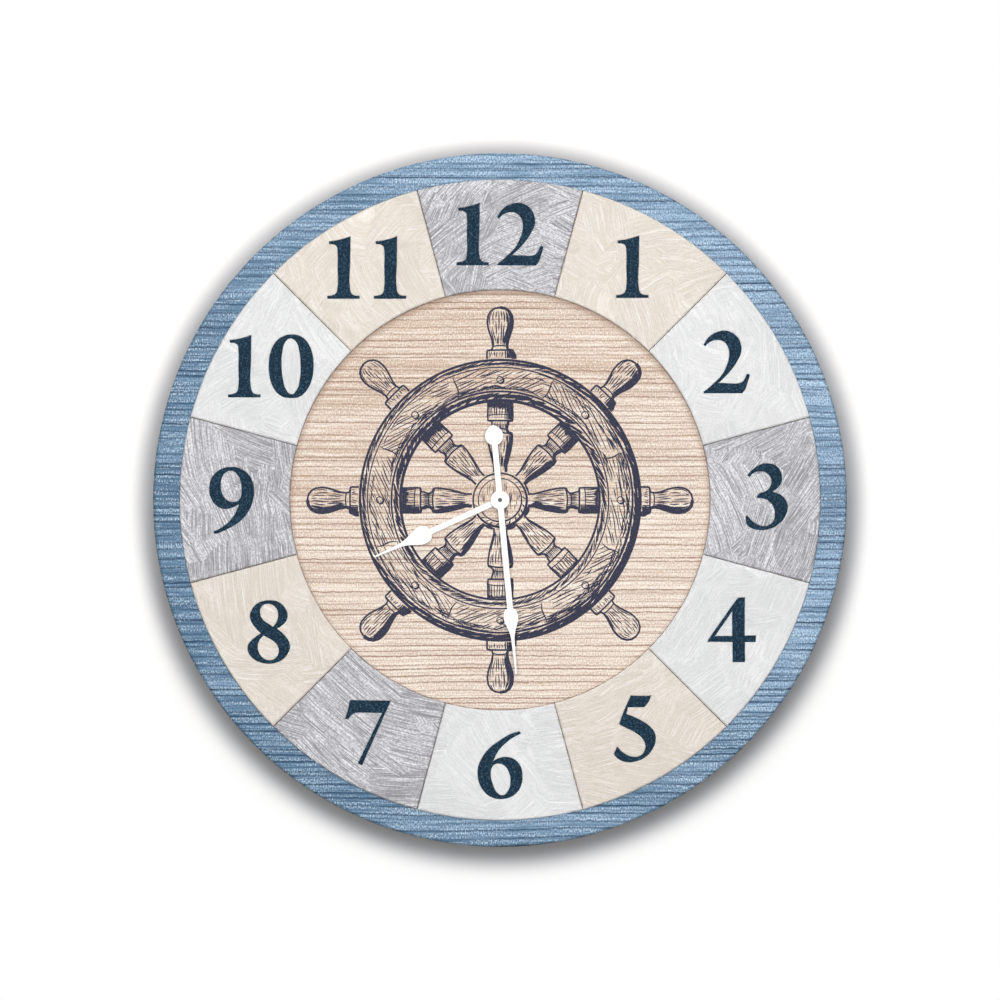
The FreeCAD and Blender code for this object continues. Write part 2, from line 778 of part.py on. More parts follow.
def make_cover_lip():
    """Low wall under the cover that fits inside the case and stops short of the contacts."""
    front = case_rim - cover_lip_height
    outer = case_inner_half - cover_fit
    inner = outer - cover_lip_width
    bottom = train_bottom + cover_fit
    corner = case_corner_radius - case_wall - cover_fit
    lip = rounded_slab(outer, bottom, outer, corner, front, case_rim)
    cut_front, cut_low = front - cut_overrun, bottom + cover_lip_width
    lip = lip.cut(block(-inner, inner, cut_front, case_rim + cut_overrun, cut_low, inner))
    for side in (-1, 1):
        inside, outside = sorted((side * (inner - cut_overrun), side * case_half))
        lip = lip.cut(block(inside, outside, cut_front, case_rim, bottom - cut_overrun, board_peg_rise))
    return lip


def make_movement_cover():
    """Rear cover of the gear room, with pivot posts, circuit posts, clips and a well for the knob."""
    plate = rounded_slab(case_half, bay_top, case_half, case_corner_radius, case_rim, 0)
    well_front = knob_well_floor - knob_cup_wall
    pieces = [plate, make_cover_lip(), rod(knob_well_outer, well_front, case_rim, knob_place)]
    pieces.extend(cover_clip(left, wall, outwards) for left, wall, outwards in clip_places())
    pivot_places = (shaft_place, third_place, step_place, rotor_place)
    pieces.extend(rod(pivot_boss_radius, boss_end, case_rim, place) for place in pivot_places)
    for side in (-1, 1):
        peg_place = (side * board_peg_side, board_peg_rise)
        pieces.append(rod(board_post_radius, circuit_back, case_rim, peg_place))
        pieces.append(rod(board_peg_radius, circuit_front, case_rim, peg_place))
    cover = joined(pieces)
    stem_hole = knob_stem_radius + knob_stem_clearance
    cover = cover.cut(rod(knob_well_radius, knob_well_floor, cut_overrun, knob_place))
    cover = cover.cut(rod(stem_hole, well_front - cut_overrun, case_rim, knob_place))
    for place in pivot_places:
        hole_end = boss_end + pivot_length + level_gap
        cover = cover.cut(rod(pivot_hole_radius, boss_end - cut_overrun, hole_end, place))
    return cover


def make_hour_wheel():
    """Hour wheel with the tube that carries the hour hand."""
    phase = meshed_phase(motion_pinion_teeth, motion_angle + 180, hour_teeth, motion_angle + 180)
    body = wheel(hour_teeth, hour_module, phase, hour_level, shaft_place)
    hub_back = hour_level + wheel_thickness
    tube = rod(hour_tube_radius, hour_hand_front, hub_back)
    bore = rod(hour_bore_radius, hour_hand_front - cut_overrun, hub_back + cut_overrun)
    return joined([body, tube]).cut(bore)


def make_minute_arbor():
    """Hollow minute arbor with the cannon pinion and a seat for the drive wheel."""
    pinion_front = motion_level - pinion_overlap
    pinion_back = motion_level + wheel_thickness + pinion_overlap
    drive_back = drive_level + wheel_thickness
    leaves = pinion(cannon_teeth, motion_module, motion_angle, pinion_front, pinion_back, shaft_place)
    tube = rod(minute_arbor_radius, minute_hand_back, drive_back)
    bore = rod(minute_bore_radius, minute_hand_back - cut_overrun, drive_back + cut_overrun)
    return joined([leaves, tube]).cut(bore)


def make_drive_wheel():
    """Wheel that grips the minute arbor by friction, so that the hands can be set."""
    phase = meshed_phase(third_pinion_teeth, third_angle + 180, drive_teeth, third_angle + 180)
    body = wheel(drive_teeth, drive_module, phase, drive_level, shaft_place)
    bore = minute_arbor_radius + motion_post_clearance
    return body.cut(rod(bore, drive_level - cut_overrun, drive_level + wheel_thickness + cut_overrun))


def motion_phase():
    """Phase of the motion wheel, set by the cannon pinion that drives it."""
    return meshed_phase(cannon_teeth, motion_angle, motion_teeth, motion_angle)


def make_motion_wheel():
    """Motion wheel and its pinion, which run on a post of the case."""
    body = wheel(motion_teeth, motion_module, motion_phase(), motion_level, motion_place)
    front = hour_level - pinion_overlap
    leaves = pinion(motion_pinion_teeth, hour_module, motion_angle + 180, front, motion_level, motion_place)
    bore_radius = motion_post_radius + motion_post_clearance
    bore = rod(bore_radius, front - cut_overrun, motion_level + wheel_thickness + cut_overrun, motion_place)
    return joined([body, leaves]).cut(bore)


def make_third_wheel():
    """Third wheel, between the seconds pinion and the drive wheel."""
    phase = meshed_phase(seconds_pinion_teeth, third_angle, third_teeth, third_angle)
    body = wheel(third_teeth, seconds_module, phase, third_level, third_place)
    front = drive_level - pinion_overlap
    leaves = pinion(third_pinion_teeth, drive_module, third_angle + 180, front, third_level, third_place)
    return joined([body, leaves, arbor_ends(front, boss_end - level_gap, third_place)])


def make_seconds_wheel():
    """Seconds wheel, whose long arbor shows at the middle of the hands."""
    phase = meshed_phase(step_pinion_teeth, step_angle + 180, seconds_teeth, step_angle + 180)
    body = wheel(seconds_teeth, step_module, phase, seconds_level, shaft_place)
    front = third_level - pinion_overlap
    leaves = pinion(seconds_pinion_teeth, seconds_module, third_angle, front, seconds_level, shaft_place)
    arbor = rod(seconds_arbor_radius, minute_hand_front + level_gap, boss_end - level_gap)
    pivot = rod(pivot_radius, boss_end - level_gap, boss_end + pivot_length)
    return joined([body, leaves, arbor, pivot])


def step_wheel_phase():
    """Phase of the step wheel, set by the rotor pinion that drives it."""
    return meshed_phase(rotor_pinion_teeth, rotor_angle + 180, step_teeth, rotor_angle + 180)


def make_step_wheel():
    """First reduction wheel after the rotor."""
    body = wheel(step_teeth, rotor_module, step_wheel_phase(), step_level, step_place)
    front = seconds_level - pinion_overlap
    leaves = pinion(step_pinion_teeth, step_module, step_angle + 180, front, step_level, step_place)
    arbor = arbor_ends(bridge_level + bridge_sheet + level_gap / 2, boss_end - level_gap, step_place)
    return joined([body, leaves, arbor])


def make_rotor():
    """Rotor: a magnet drum and its pinion on one thin spindle."""
    drum = rod(rotor_magnet_radius, magnet_level, magnet_level + rotor_magnet_length, rotor_place)
    front, back = step_level - pinion_overlap, step_level + wheel_thickness
    leaves = pinion(rotor_pinion_teeth, rotor_module, rotor_angle + 180, front, back, rotor_place)
    arbor = arbor_ends(bridge_level + bridge_sheet + level_gap / 2, boss_end - level_gap, rotor_place)
    return joined([drum, leaves, arbor])


def make_setting_knob():
    """Fluted knob at the back, with a long stem and the pinion that turns the motion wheel."""
    head_front, head_back = -knob_sunk - knob_thickness, -knob_sunk
    head = rod(knob_radius, head_front, head_back, knob_place)
    for flute in range(knob_flutes):
        place = across(flute * 360 / knob_flutes, knob_radius, knob_place)
        head = head.cut(rod(knob_flute_radius, head_front - cut_overrun, head_back + cut_overrun, place))
    phase = meshed_phase(motion_teeth, motion_phase(), knob_teeth, knob_angle)
    front, back = motion_level - pinion_overlap, motion_level + wheel_thickness
    leaves = pinion(knob_teeth, motion_module, phase, front, back, knob_place)
    stem = rod(knob_stem_radius, front, head_front + knob_thickness / 2, knob_place)
    pivot = rod(pivot_radius, front - level_gap - pivot_length, front, knob_place)
    return joined([head, leaves, stem, pivot])


def link(start, end, radius, front, back):
    """A flat bar with round ends between two places."""
    run = math.dist(start, end)
    side = (end[1] - start[1]) / run * radius, (start[0] - end[0]) / run * radius
    points = [
        (start[0] + side[0], start[1] + side[1]),
        (end[0] + side[0], end[1] + side[1]),
        (end[0] - side[0], end[1] - side[1]),
        (start[0] - side[0], start[1] - side[1]),
    ]
    round_ends = [rod(radius, front, back, place) for place in (start, end)]
    return prism(points, front, back).multiFuse(round_ends)


def make_train_bridge():
    """Bridge that holds the front pivots of the rotor and the step wheel."""
    back = bridge_level + bridge_sheet
    bridge = joined(
        [
            link(bridge_left_place, rotor_place, bridge_arm_radius, bridge_level, back),
            link(bridge_left_place, step_place, bridge_arm_radius, bridge_level, back),
            link(step_place, bridge_low_place, bridge_arm_radius, bridge_level, back),
        ]
    )
    for place in (rotor_place, step_place):
        bridge = bridge.cut(rod(pivot_hole_radius, bridge_level - cut_overrun, back + cut_overrun, place))
    peg_hole = bridge_peg_radius + peg_fit
    for place in bridge_post_places:
        bridge = bridge.cut(rod(peg_hole, bridge_level - cut_overrun, back + cut_overrun, place))
    return bridge


def make_stator_plate():
    """Soft-iron stator: a ring round the rotor and two arms up to the coil."""
    back = stator_level + stator_sheet
    top = coil_rise + coil_core_width / 2
    bore = rotor_magnet_radius + stator_bore_gap
    ring_radius = bore + stator_ring_width
    left_arm = coil_left - coil_arm_gap - stator_arm_width
    right_arm = coil_right + coil_arm_gap
    x, z = rotor_place
    bar_bottom = z + bore - stator_ring_width / 2
    plate = joined(
        [
            rod(ring_radius, stator_level, back, rotor_place),
            block(left_arm, x, stator_level, back, z - stator_ring_width, z + stator_ring_width),
            block(left_arm, left_arm + stator_arm_width, stator_level, back, z - stator_ring_width, top),
            block(x, right_arm + stator_arm_width, stator_level, back, bar_bottom, z + ring_radius),
            block(right_arm, right_arm + stator_arm_width, stator_level, back, bar_bottom, top),
        ]
    )
    return plate.cut(rod(bore, stator_level - cut_overrun, back + cut_overrun, rotor_place))


def make_coil_core():
    """Flat iron core, lapped on the two arms of the stator."""
    left = coil_left - coil_arm_gap - stator_arm_width
    right = coil_right + coil_arm_gap + stator_arm_width
    low, high = coil_rise - coil_core_width / 2, coil_rise + coil_core_width / 2
    return block(left, right, stator_level - coil_core_sheet, stator_level, low, high)


def along_coil(radius, left, right):
    """A cylinder along x on the coil's middle line."""
    start = FreeCAD.Vector(left, coil_level, coil_rise)
    return Part.makeCylinder(radius, right - left, start, FreeCAD.Vector(1, 0, 0))


def core_tube(grow, left, right):
    """The core's section grown all round, for the bobbin's tube and bore."""
    half = coil_core_width / 2 + grow
    front, back = stator_level - coil_core_sheet - grow, stator_level + grow
    return block(left, right, front, back, coil_rise - half, coil_rise + half)


def make_coil_bobbin():
    """Bobbin: a flat tube on the core between two round flanges."""
    inner_left, inner_right = coil_left + bobbin_flange_thickness, coil_right - bobbin_flange_thickness
    solid = joined(
        [
            along_coil(bobbin_flange_radius, coil_left, inner_left),
            core_tube(cover_fit + bobbin_tube_wall, coil_left, coil_right),
            along_coil(bobbin_flange_radius, inner_right, coil_right),
        ]
    )
    return solid.cut(core_tube(cover_fit, coil_left - cut_overrun, coil_right + cut_overrun))


def make_coil_winding():
    """The wound copper, as one smooth body between the flanges."""
    left, right = coil_left + bobbin_flange_thickness, coil_right - bobbin_flange_thickness
    winding = along_coil(coil_winding_radius, left, right)
    return winding.cut(core_tube(cover_fit + bobbin_tube_wall, left - cut_overrun, right + cut_overrun))


def make_circuit_board():
    """Long circuit board behind the coil, held on two pegs."""
    half, top = board_strip_half_length, board_strip_bottom + board_strip_height
    strip = block(-half, half, circuit_front, circuit_back, board_strip_bottom, top)
    peg_hole = board_peg_radius + peg_fit
    for side in (-1, 1):
        peg_place = (side * board_peg_side, board_peg_rise)
        strip = strip.cut(rod(peg_hole, circuit_front - cut_overrun, circuit_back + cut_overrun, peg_place))
    return strip


def make_quartz_crystal():
    """Small crystal can, lying on the circuit board."""
    rise = board_strip_bottom + board_strip_height / 2
    start = FreeCAD.Vector(crystal_left, circuit_front - crystal_radius, rise)
    return Part.makeCylinder(crystal_radius, crystal_length, start, FreeCAD.Vector(1, 0, 0))


def make_control_chip():
    """Low dome of resin over the timing chip."""
    rise = board_strip_bottom + board_strip_height / 2
    crown = circuit_front - chip_height
    rounding = (chip_radius**2 + chip_height**2) / (2 * chip_height)
    dome = Part.makeSphere(rounding, FreeCAD.Vector(chip_side, crown + rounding, rise))
    return dome.common(rod(chip_radius, crown, circuit_front, (chip_side, rise)))


def contact_strip(side):
    """The flat parts that both contacts share: end plate, tail along the wall and soldered foot."""
    low, high = sorted((side * case_inner_half, side * (case_inner_half - contact_sheet)))
    foot_low, foot_high = sorted((side * case_inner_half, side * (case_inner_half - contact_foot_length)))
    plate_front, plate_back = cell_depth - contact_plate_depth / 2, cell_depth + contact_plate_depth / 2
    plate_low, plate_high = cell_rise - contact_plate_height / 2, cell_rise + contact_plate_height / 2
    foot_bottom = board_strip_bottom + contact_sheet
    foot_top = foot_bottom + contact_tail_width
    return [
        block(low, high, plate_front, plate_back, plate_low, plate_high),
        block(low, high, circuit_front - contact_tail_width, circuit_front, cell_rise, foot_top),
        block(foot_low, foot_high, circuit_front - contact_sheet, circuit_front, foot_bottom, foot_top),
    ]


def make_positive_contact():
    """Flat strip at the cell's button end."""
    return joined(contact_strip(1))


def make_negative_contact():
    """Strip at the cell's flat end, with a bowed leaf that presses on the cell."""
    wall_side = -case_inner_half + contact_sheet / 2
    crown = cell_body_start() - contact_gap - contact_sheet / 2
    low, high = cell_rise - contact_plate_height / 2, cell_rise + contact_plate_height / 2
    run = [(wall_side, low), (crown, cell_rise), (wall_side, high)]
    front = cell_depth - contact_tail_width / 2
    face = bent_strip(run, contact_sheet, contact_leaf_bend, lambda p: FreeCAD.Vector(p[0], front, p[1]))
    leaf = face.extrude(FreeCAD.Vector(0, contact_tail_width, 0))
    wall = block(-case_half - cut_overrun, -case_inner_half, case_floor, case_rim, bay_bottom, bay_top)
    return joined([*contact_strip(-1), leaf.cut(wall)])


def cell_button_end():
    """Where the cell's button stands, just short of the positive contact."""
    return case_inner_half - contact_sheet - contact_gap


def cell_body_start():
    """Where the cell's flat end stands."""
    return cell_button_end() - cell_nub_length - cell_body_length


def make_aa_cell():
    """Dry cell with a raised button, lying along x with its button to the right."""
    button_end, body_start = cell_button_end(), cell_body_start()
    body_end = button_end - cell_nub_length
    points = [
        (body_start, 0),
        (body_start, cell_radius - cell_edge_bevel),
        (body_start + cell_edge_bevel, cell_radius),
        (body_end - cell_edge_bevel, cell_radius),
        (body_end, cell_radius - cell_edge_bevel),
        (body_end, cell_nub_radius),
        (button_end, cell_nub_radius),
        (button_end, 0),
    ]
    corners = [FreeCAD.Vector(x, cell_depth, cell_rise + radius) for x, radius in points]
    outline = Part.makePolygon(corners + corners[:1])
    middle = FreeCAD.Vector(0, cell_depth, cell_rise)
    return Part.Face(outline).revolve(middle, FreeCAD.Vector(1, 0, 0), 360)


def to_row_frame(solid):
    """Moves a piece so that the origin is the middle of the keyhole's wide end."""
    moved = solid.copy()
    moved.translate(FreeCAD.Vector(0, hanger_wall_gap + hanger_sheet / 2, -keyhole_rise))
    return moved


def make_nodes():
    """Every named piece of the clock."""
    nodes = {
        "backboard": make_backboard(),
        "centre_disc": make_centre_disc(),
        "hour_hand": make_hour_hand(),
        "minute_hand": make_minute_hand(),
        "hour_hand_collet": make_hour_hand_collet(),
        "minute_hand_collet": make_minute_hand_collet(),
        "wall_hanger": make_wall_hanger(),
        "rubber_gasket": ring(gasket_radius, bush_hole_radius, board_back, hanger_front),
        "flat_washer": ring(washer_radius, bush_hole_radius, washer_front, counterbore_floor),
        "hex_nut": make_hex_nut(),
        "centre_bush": make_centre_bush(),
        "movement_case": make_movement_case(),
        "movement_cover": make_movement_cover(),
        "hour_wheel": make_hour_wheel(),
        "minute_arbor": make_minute_arbor(),
        "drive_wheel": make_drive_wheel(),
        "motion_wheel": make_motion_wheel(),
        "third_wheel": make_third_wheel(),
        "seconds_wheel": make_seconds_wheel(),
        "step_wheel": make_step_wheel(),
        "rotor": make_rotor(),
        "setting_knob": make_setting_knob(),
        "train_bridge": make_train_bridge(),
        "stator_plate": make_stator_plate(),
        "coil_core": make_coil_core(),
        "coil_bobbin": make_coil_bobbin(),
        "coil_winding": make_coil_winding(),
        "circuit_board": make_circuit_board(),
        "quartz_crystal": make_quartz_crystal(),
        "control_chip": make_control_chip(),
        "positive_contact": make_positive_contact(),
        "negative_contact": make_negative_contact(),
        "aa_cell": make_aa_cell(),
    }
    for number in range(1, tile_count + 1):
        nodes[f"tile_{number:02d}"] = make_tile(number)
    return nodes


os.makedirs("parts", exist_ok=True)
for name, solid in make_nodes().items():
    to_row_frame(solid).exportStep(f"parts/{name}.step")
    print(f"{name}: {len(solid.Solids)} solid, {solid.Volume:.1f} mm3, valid {solid.isValid()}")
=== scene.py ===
"""Round nautical wall clock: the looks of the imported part.

A stained wooden board with twelve trowelled tiles, a pale wooden disc with a printed ship's wheel, white
spade hands and, behind them, a battery quartz movement that hangs on a steel plate. The file is laid out
as an add-on and is run as a script.
"""

import json
import random
from math import atan2, cos, degrees, hypot, pi, radians, sin, sqrt, tau

import bmesh
import bpy
from bpy.props import FloatProperty, FloatVectorProperty, IntProperty, PointerProperty
from mathutils import Matrix, Vector


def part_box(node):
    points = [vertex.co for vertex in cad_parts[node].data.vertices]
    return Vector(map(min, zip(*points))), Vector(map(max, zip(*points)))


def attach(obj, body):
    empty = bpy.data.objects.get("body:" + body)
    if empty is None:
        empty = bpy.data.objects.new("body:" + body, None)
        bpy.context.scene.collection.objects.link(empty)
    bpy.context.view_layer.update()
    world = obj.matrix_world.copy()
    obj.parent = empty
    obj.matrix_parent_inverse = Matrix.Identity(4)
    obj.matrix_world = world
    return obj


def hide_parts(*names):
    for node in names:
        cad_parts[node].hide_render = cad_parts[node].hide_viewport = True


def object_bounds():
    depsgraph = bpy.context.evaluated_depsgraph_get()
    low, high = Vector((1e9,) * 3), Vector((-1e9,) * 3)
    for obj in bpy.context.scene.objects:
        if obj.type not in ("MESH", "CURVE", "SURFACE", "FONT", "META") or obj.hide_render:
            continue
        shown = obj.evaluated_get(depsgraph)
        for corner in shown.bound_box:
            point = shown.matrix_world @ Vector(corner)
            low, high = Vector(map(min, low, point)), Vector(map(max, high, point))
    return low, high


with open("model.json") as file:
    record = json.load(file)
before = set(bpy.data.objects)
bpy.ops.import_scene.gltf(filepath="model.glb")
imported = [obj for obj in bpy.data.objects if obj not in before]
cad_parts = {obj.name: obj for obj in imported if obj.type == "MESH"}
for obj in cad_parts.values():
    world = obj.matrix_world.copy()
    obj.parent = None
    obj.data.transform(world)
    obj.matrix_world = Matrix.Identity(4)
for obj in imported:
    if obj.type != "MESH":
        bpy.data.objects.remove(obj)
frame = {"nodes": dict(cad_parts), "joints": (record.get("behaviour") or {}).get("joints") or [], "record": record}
cad_box = [list(corner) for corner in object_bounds()]

bl_info = {
    "name": "Nautical wall clock",
    "version": (1, 0, 0),
    "blender": (4, 5, 0),
    "location": "3D View > Sidebar > Clock",
    "description": "Dresses the packed wall clock: wood, trowelled tiles, print, hands and movement",
    "category": "Add Mesh",
}

MM = 0.001
PIXEL = 0.4391 * MM
HOUR_STEP = 30.0
SPOKE_STEP = 45.0
SPOKES = 8
HOURS = range(1, 13)
# Distances within which vertices are one, lie on one circle, and are one in a flat drawing.
TOUCH, NEAR, DRAWN_TOUCH = 1e-6, 1e-5, 2e-7
# Steps round each spun shape.
BOARD_STEPS, DISC_STEPS, TILE_STEPS, CELL_STEPS = 240, 192, 30, 64
# How far the middle of a paint film stands off the floor it lies on, as a share of its half-thickness.
SUNK = .9

# The dial's axis and levels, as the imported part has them.
hand_joint = next(joint for joint in frame["joints"] if joint["name"] == "minute_hand_turn")
AXIS = Vector((hand_joint["pos_m"][0], 0.0, hand_joint["pos_m"][2]))
board_low, board_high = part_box("backboard")
tile_low, tile_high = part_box("tile_12")
disc_low, disc_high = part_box("centre_disc")
washer_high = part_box("flat_washer")[1]
cell_low, cell_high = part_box("aa_cell")
cover_low, cover_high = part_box("movement_cover")
knob_low, knob_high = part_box("setting_knob")
BOARD_RADIUS = min(board_high.x, -board_low.x, board_high.z - AXIS.z, AXIS.z - board_low.z)
TILE_OUTER = tile_high.z - AXIS.z
DISC_RADIUS = min(disc_high.x, -disc_low.x)
WALL_LEVEL = cad_box[1][1]

# Numerals, drawn in shares of their own height: smooth points are pairs, corners have a third value.
NUMERAL_SHAPES = {
    "0": [
        [(.37, 1), (.511, .966), (.617, .861), (.688, .675), (.702, .499), (.679, .305), (.6, .129),
         (.485, .023), (.353, 0), (.194, .032), (.079, .146), (.009, .345), (-.003, .517), (.022, .711),
         (.097, .87), (.212, .966)],
        [(.335, .937), (.256, .878), (.212, .728), (.199, .517), (.22, .305), (.273, .129), (.362, .058),
         (.432, .12), (.485, .287), (.497, .534), (.476, .746), (.432, .878)],
    ],
    "1": [
        [(.03, .92, 1), (.13, .932), (.24, .957), (.375, 1, 1), (.37, .6), (.368, .17), (.392, .09),
         (.43, .06), (.518, .05, 1), (.522, .003, 1), (.003, .003, 1), (.003, .047, 1), (.088, .06),
         (.14, .09), (.165, .17), (.168, .5), (.168, .76), (.155, .835), (.115, .867), (.034, .876, 1)],
    ],
    "2": [
        [(0, .78, 1), (.1, .912), (.208, .975), (.324, 1), (.441, .975), (.53, .912), (.593, .8),
         (.604, .67), (.548, .53), (.459, .392), (.351, .27), (.244, .168, 1), (.4, .16), (.548, .158),
         (.61, .178), (.656, .231), (.683, .297, 1), (.712, .31), (.74, .29, 1), (.71, .186), (.665, .061),
         (.62, 0, 1), (.002, 0, 1), (.002, .025, 1), (.07, .075), (.172, .168), (.28, .276), (.351, .401),
         (.401, .545), (.409, .661), (.378, .76), (.315, .828), (.226, .85), (.154, .84), (.085, .806),
         (.023, .745, 1)],
    ],
    "3": [
        [(.025, .825, 1), (.121, .92), (.222, .98), (.34, 1), (.441, .976), (.517, .901), (.55, .808),
         (.54, .72), (.492, .64), (.407, .577, 1), (.542, .522), (.613, .438), (.635, .337), (.593, .2),
         (.492, .084), (.357, .017), (.222, 0), (.121, .017), (.045, .059), (.008, .118), (.003, .202, 1),
         (.029, .219, 1), (.104, .135), (.189, .084), (.281, .059), (.357, .079), (.416, .135),
         (.441, .236), (.424, .337), (.357, .429), (.273, .472), (.172, .48, 1), (.178, .515),
         (.214, .552), (.298, .581), (.357, .631), (.387, .715), (.37, .8), (.306, .862), (.222, .88),
         (.13, .859), (.057, .795, 1)],
    ],
    "4": [
        [(.458, .976), (.484, 1, 1), (.58, 1.005, 1), (.58, .411, 1), (.753, .417, 1), (.748, .3125, 1),
         (.583, .3125, 1), (.583, .003, 1), (.391, 0, 1), (.391, .3125, 1), (.002, .316, 1), (.02, .36, 1)],
        [(.385, .785, 1), (.12, .406, 1), (.385, .406, 1)],
    ],
    "5": [
        [(.259, 1, 1), (.42, .995), (.512, .997), (.566, 1.002, 1), (.529, .909), (.461, .825, 1),
         (.217, .822, 1), (.192, .724, 1), (.327, .67), (.444, .61), (.554, .53), (.621, .43), (.632, .32),
         (.579, .185), (.478, .076), (.343, .013), (.209, 0), (.099, .034), (.024, .093), (.003, .126, 1),
         (.057, .236, 1), (.125, .16), (.226, .1), (.327, .081), (.419, .109), (.47, .185), (.475, .269),
         (.428, .362), (.335, .438), (.209, .505), (.082, .569, 1), (.158, .774)],
    ],
    "6": [
        [(.615, 1.002, 1), (.64, .968, 1), (.541, .919), (.425, .836), (.325, .736), (.259, .629),
         (.234, .566, 1), (.325, .609), (.441, .62), (.557, .579), (.632, .488), (.662, .355),
         (.648, .214), (.582, .098), (.474, .023), (.342, 0), (.192, .032), (.085, .123), (.018, .247),
         (-.002, .38), (.018, .512), (.085, .645), (.192, .77), (.342, .877), (.474, .957)],
        [(.308, .526), (.25, .512), (.209, .463), (.194, .347), (.226, .214), (.284, .098), (.367, .056),
         (.449, .123), (.483, .247), (.466, .38), (.4, .488)],
    ],
    "7": [
        [(.08, .997, 1), (.709, .99, 1), (.274, .015, 1), (.265, .003, 1), (.205, .036, 1), (.573, .802, 1),
         (.25, .808), (.154, .8), (.103, .765), (.06, .711, 1), (.005, .708, 1), (.051, .839)],
    ],
    "8": [
        [(.366, 1.008), (.491, .984), (.59, .903), (.64, .79), (.625, .688), (.554, .608), (.473, .554, 1),
         (.563, .482), (.643, .384), (.679, .276), (.652, .168), (.572, .07), (.455, .011), (.33, -.005),
         (.186, .025), (.079, .088), (.011, .186), (.004, .276), (.052, .357), (.133, .428), (.213, .482, 1),
         (.133, .563), (.061, .67), (.039, .76), (.07, .858), (.142, .948), (.249, .996)],
        [(.321, .953), (.25, .93), (.208, .87), (.203, .796), (.235, .715), (.312, .652), (.41, .584, 1),
         (.464, .661), (.491, .76), (.473, .858), (.41, .93)],
        [(.258, .446, 1), (.195, .375), (.165, .276), (.186, .168), (.258, .082), (.357, .052),
         (.437, .079), (.491, .151), (.495, .249), (.446, .33), (.357, .392)],
    ],
    "9": [
        [(.325, .997), (.441, .98), (.566, .902), (.64, .778), (.662, .629), (.64, .479), (.574, .33),
         (.458, .197), (.308, .098), (.176, .035), (.085, .003, 1), (.056, .035, 1), (.176, .098),
         (.292, .189), (.375, .297), (.441, .446, 1), (.342, .396), (.226, .376), (.109, .421),
         (.027, .529), (-.002, .662), (.018, .794), (.085, .902), (.192, .973)],
        [(.317, .94), (.242, .914), (.184, .828), (.171, .711), (.196, .595), (.259, .512), (.35, .479),
         (.433, .504), (.472, .58), (.474, .678), (.458, .794), (.408, .894)],
    ],
}
# How tall each numeral stands beside the 1, and the space between the two of a pair.
NUMERAL_TALL = {"0": 1.016, "1": 1, "2": 1, "3": 1.065, "4": 1.032, "5": 1.065, "6": 1.08, "7": 1.048,
                "8": 1.0, "9": 1.08}
PAIR_SPACE = {"10": .13, "11": .226, "12": .13}
# How far each numeral sits off its place on the ring, in picture pixels to the right and up.
NUMERAL_SHIFT = {1: (-1, 2.4), 2: (-4, 4.8), 3: (.3, 3.2), 4: (1, 3.2), 5: (1.5, 1.8), 6: (0, 1.1),
                 7: (1, -2.2), 8: (-.5, 1), 9: (-2, -.6), 10: (1.5, .5), 11: (0, 1.6), 12: (0, -.6)}
TILE_TONES = {"grey": (3, 7, 9, 12), "cream": (1, 5, 8, 11), "white": (2, 4, 6, 10)}


def paint(red, green, blue):
    """The linear colour of a paint given in screen steps from 0 to 255."""
    def linear(step):
        share = step / 255
        return share / 12.92 if share <= .04045 else ((share + .055) / 1.055) ** 2.4
    return (linear(red), linear(green), linear(blue), 1.0)


# ---- Properties -------------------------------------------------------------------------------------


def length_of(label, words, value):
    """A length that the user may change."""
    return FloatProperty(name=label, description=words, default=value, min=0, unit="LENGTH", precision=5)


def colour_of(label, words, value):
    """A colour that the user may change."""
    return FloatVectorProperty(name=label, description=words, default=value, size=4, min=0, max=1,
                               subtype="COLOR")


class ClockSizes(bpy.types.PropertyGroup):
    """Sizes of the dressed clock."""

    board_round: length_of("Board rounding", "Rounding of the board's front edge", 1.5 * MM)
    board_back_bevel: length_of("Board back bevel", "Bevel of the board's back edge", .6 * MM)
    tile_round: length_of("Tile rounding", "Rounding of a tile's front edges", 1.0 * MM)
    tile_gap: length_of("Tile joint", "Width of the joint between two tiles", .22 * MM)
    engraving: length_of("Engraving", "Depth of the numerals", .45 * MM)
    engraving_slope: length_of("Engraving slope", "Width of the sloped wall round a numeral", .24 * MM)
    engraving_spread: length_of("Engraving spread", "How far a numeral is cut past its outline", .1 * MM)
    paint_film: length_of("Paint film", "Thickness of the numeral paint", .06 * MM)
    numeral_height: length_of("Numeral height", "Height of the numeral 1", 62.6 * PIXEL)
    numeral_ring: length_of("Numeral ring", "Distance of the numerals from the axis", 266.3 * PIXEL)
    hand_edge: length_of("Hand edge", "Rounding of the stamped hands", .1 * MM)
    case_edge: length_of("Case edge", "Rounding of the moulded case and cover", .25 * MM)


class ClockColours(bpy.types.PropertyGroup):
    """Colours of the dressed clock."""

    stain_light: colour_of("Light stain", "Blue stain where it lies thin", paint(164, 194, 222))
    stain_dark: colour_of("Dark stain", "Blue stain where it lies thick", paint(98, 132, 160))
    stain_line: colour_of("Stained grain", "Grain lines of the blue board", paint(66, 98, 126))
    pine: colour_of("Pine", "Pale wood of the disc", paint(244, 230, 216))
    pine_line: colour_of("Pine grain", "Grain lines of the disc", paint(192, 163, 143))
    raw_board: colour_of("Raw board", "Back of the board", paint(196, 170, 138))
    cream: colour_of("Cream", "Cream tiles", paint(241, 234, 224))
    white: colour_of("White", "White tiles", paint(243, 243, 243))
    grey: colour_of("Grey", "Grey tiles", paint(236, 235, 240))
    numeral: colour_of("Numerals", "Paint in the numerals", paint(16, 38, 54))
    ink: colour_of("Ink", "Print of the ship's wheel", paint(54, 57, 76))


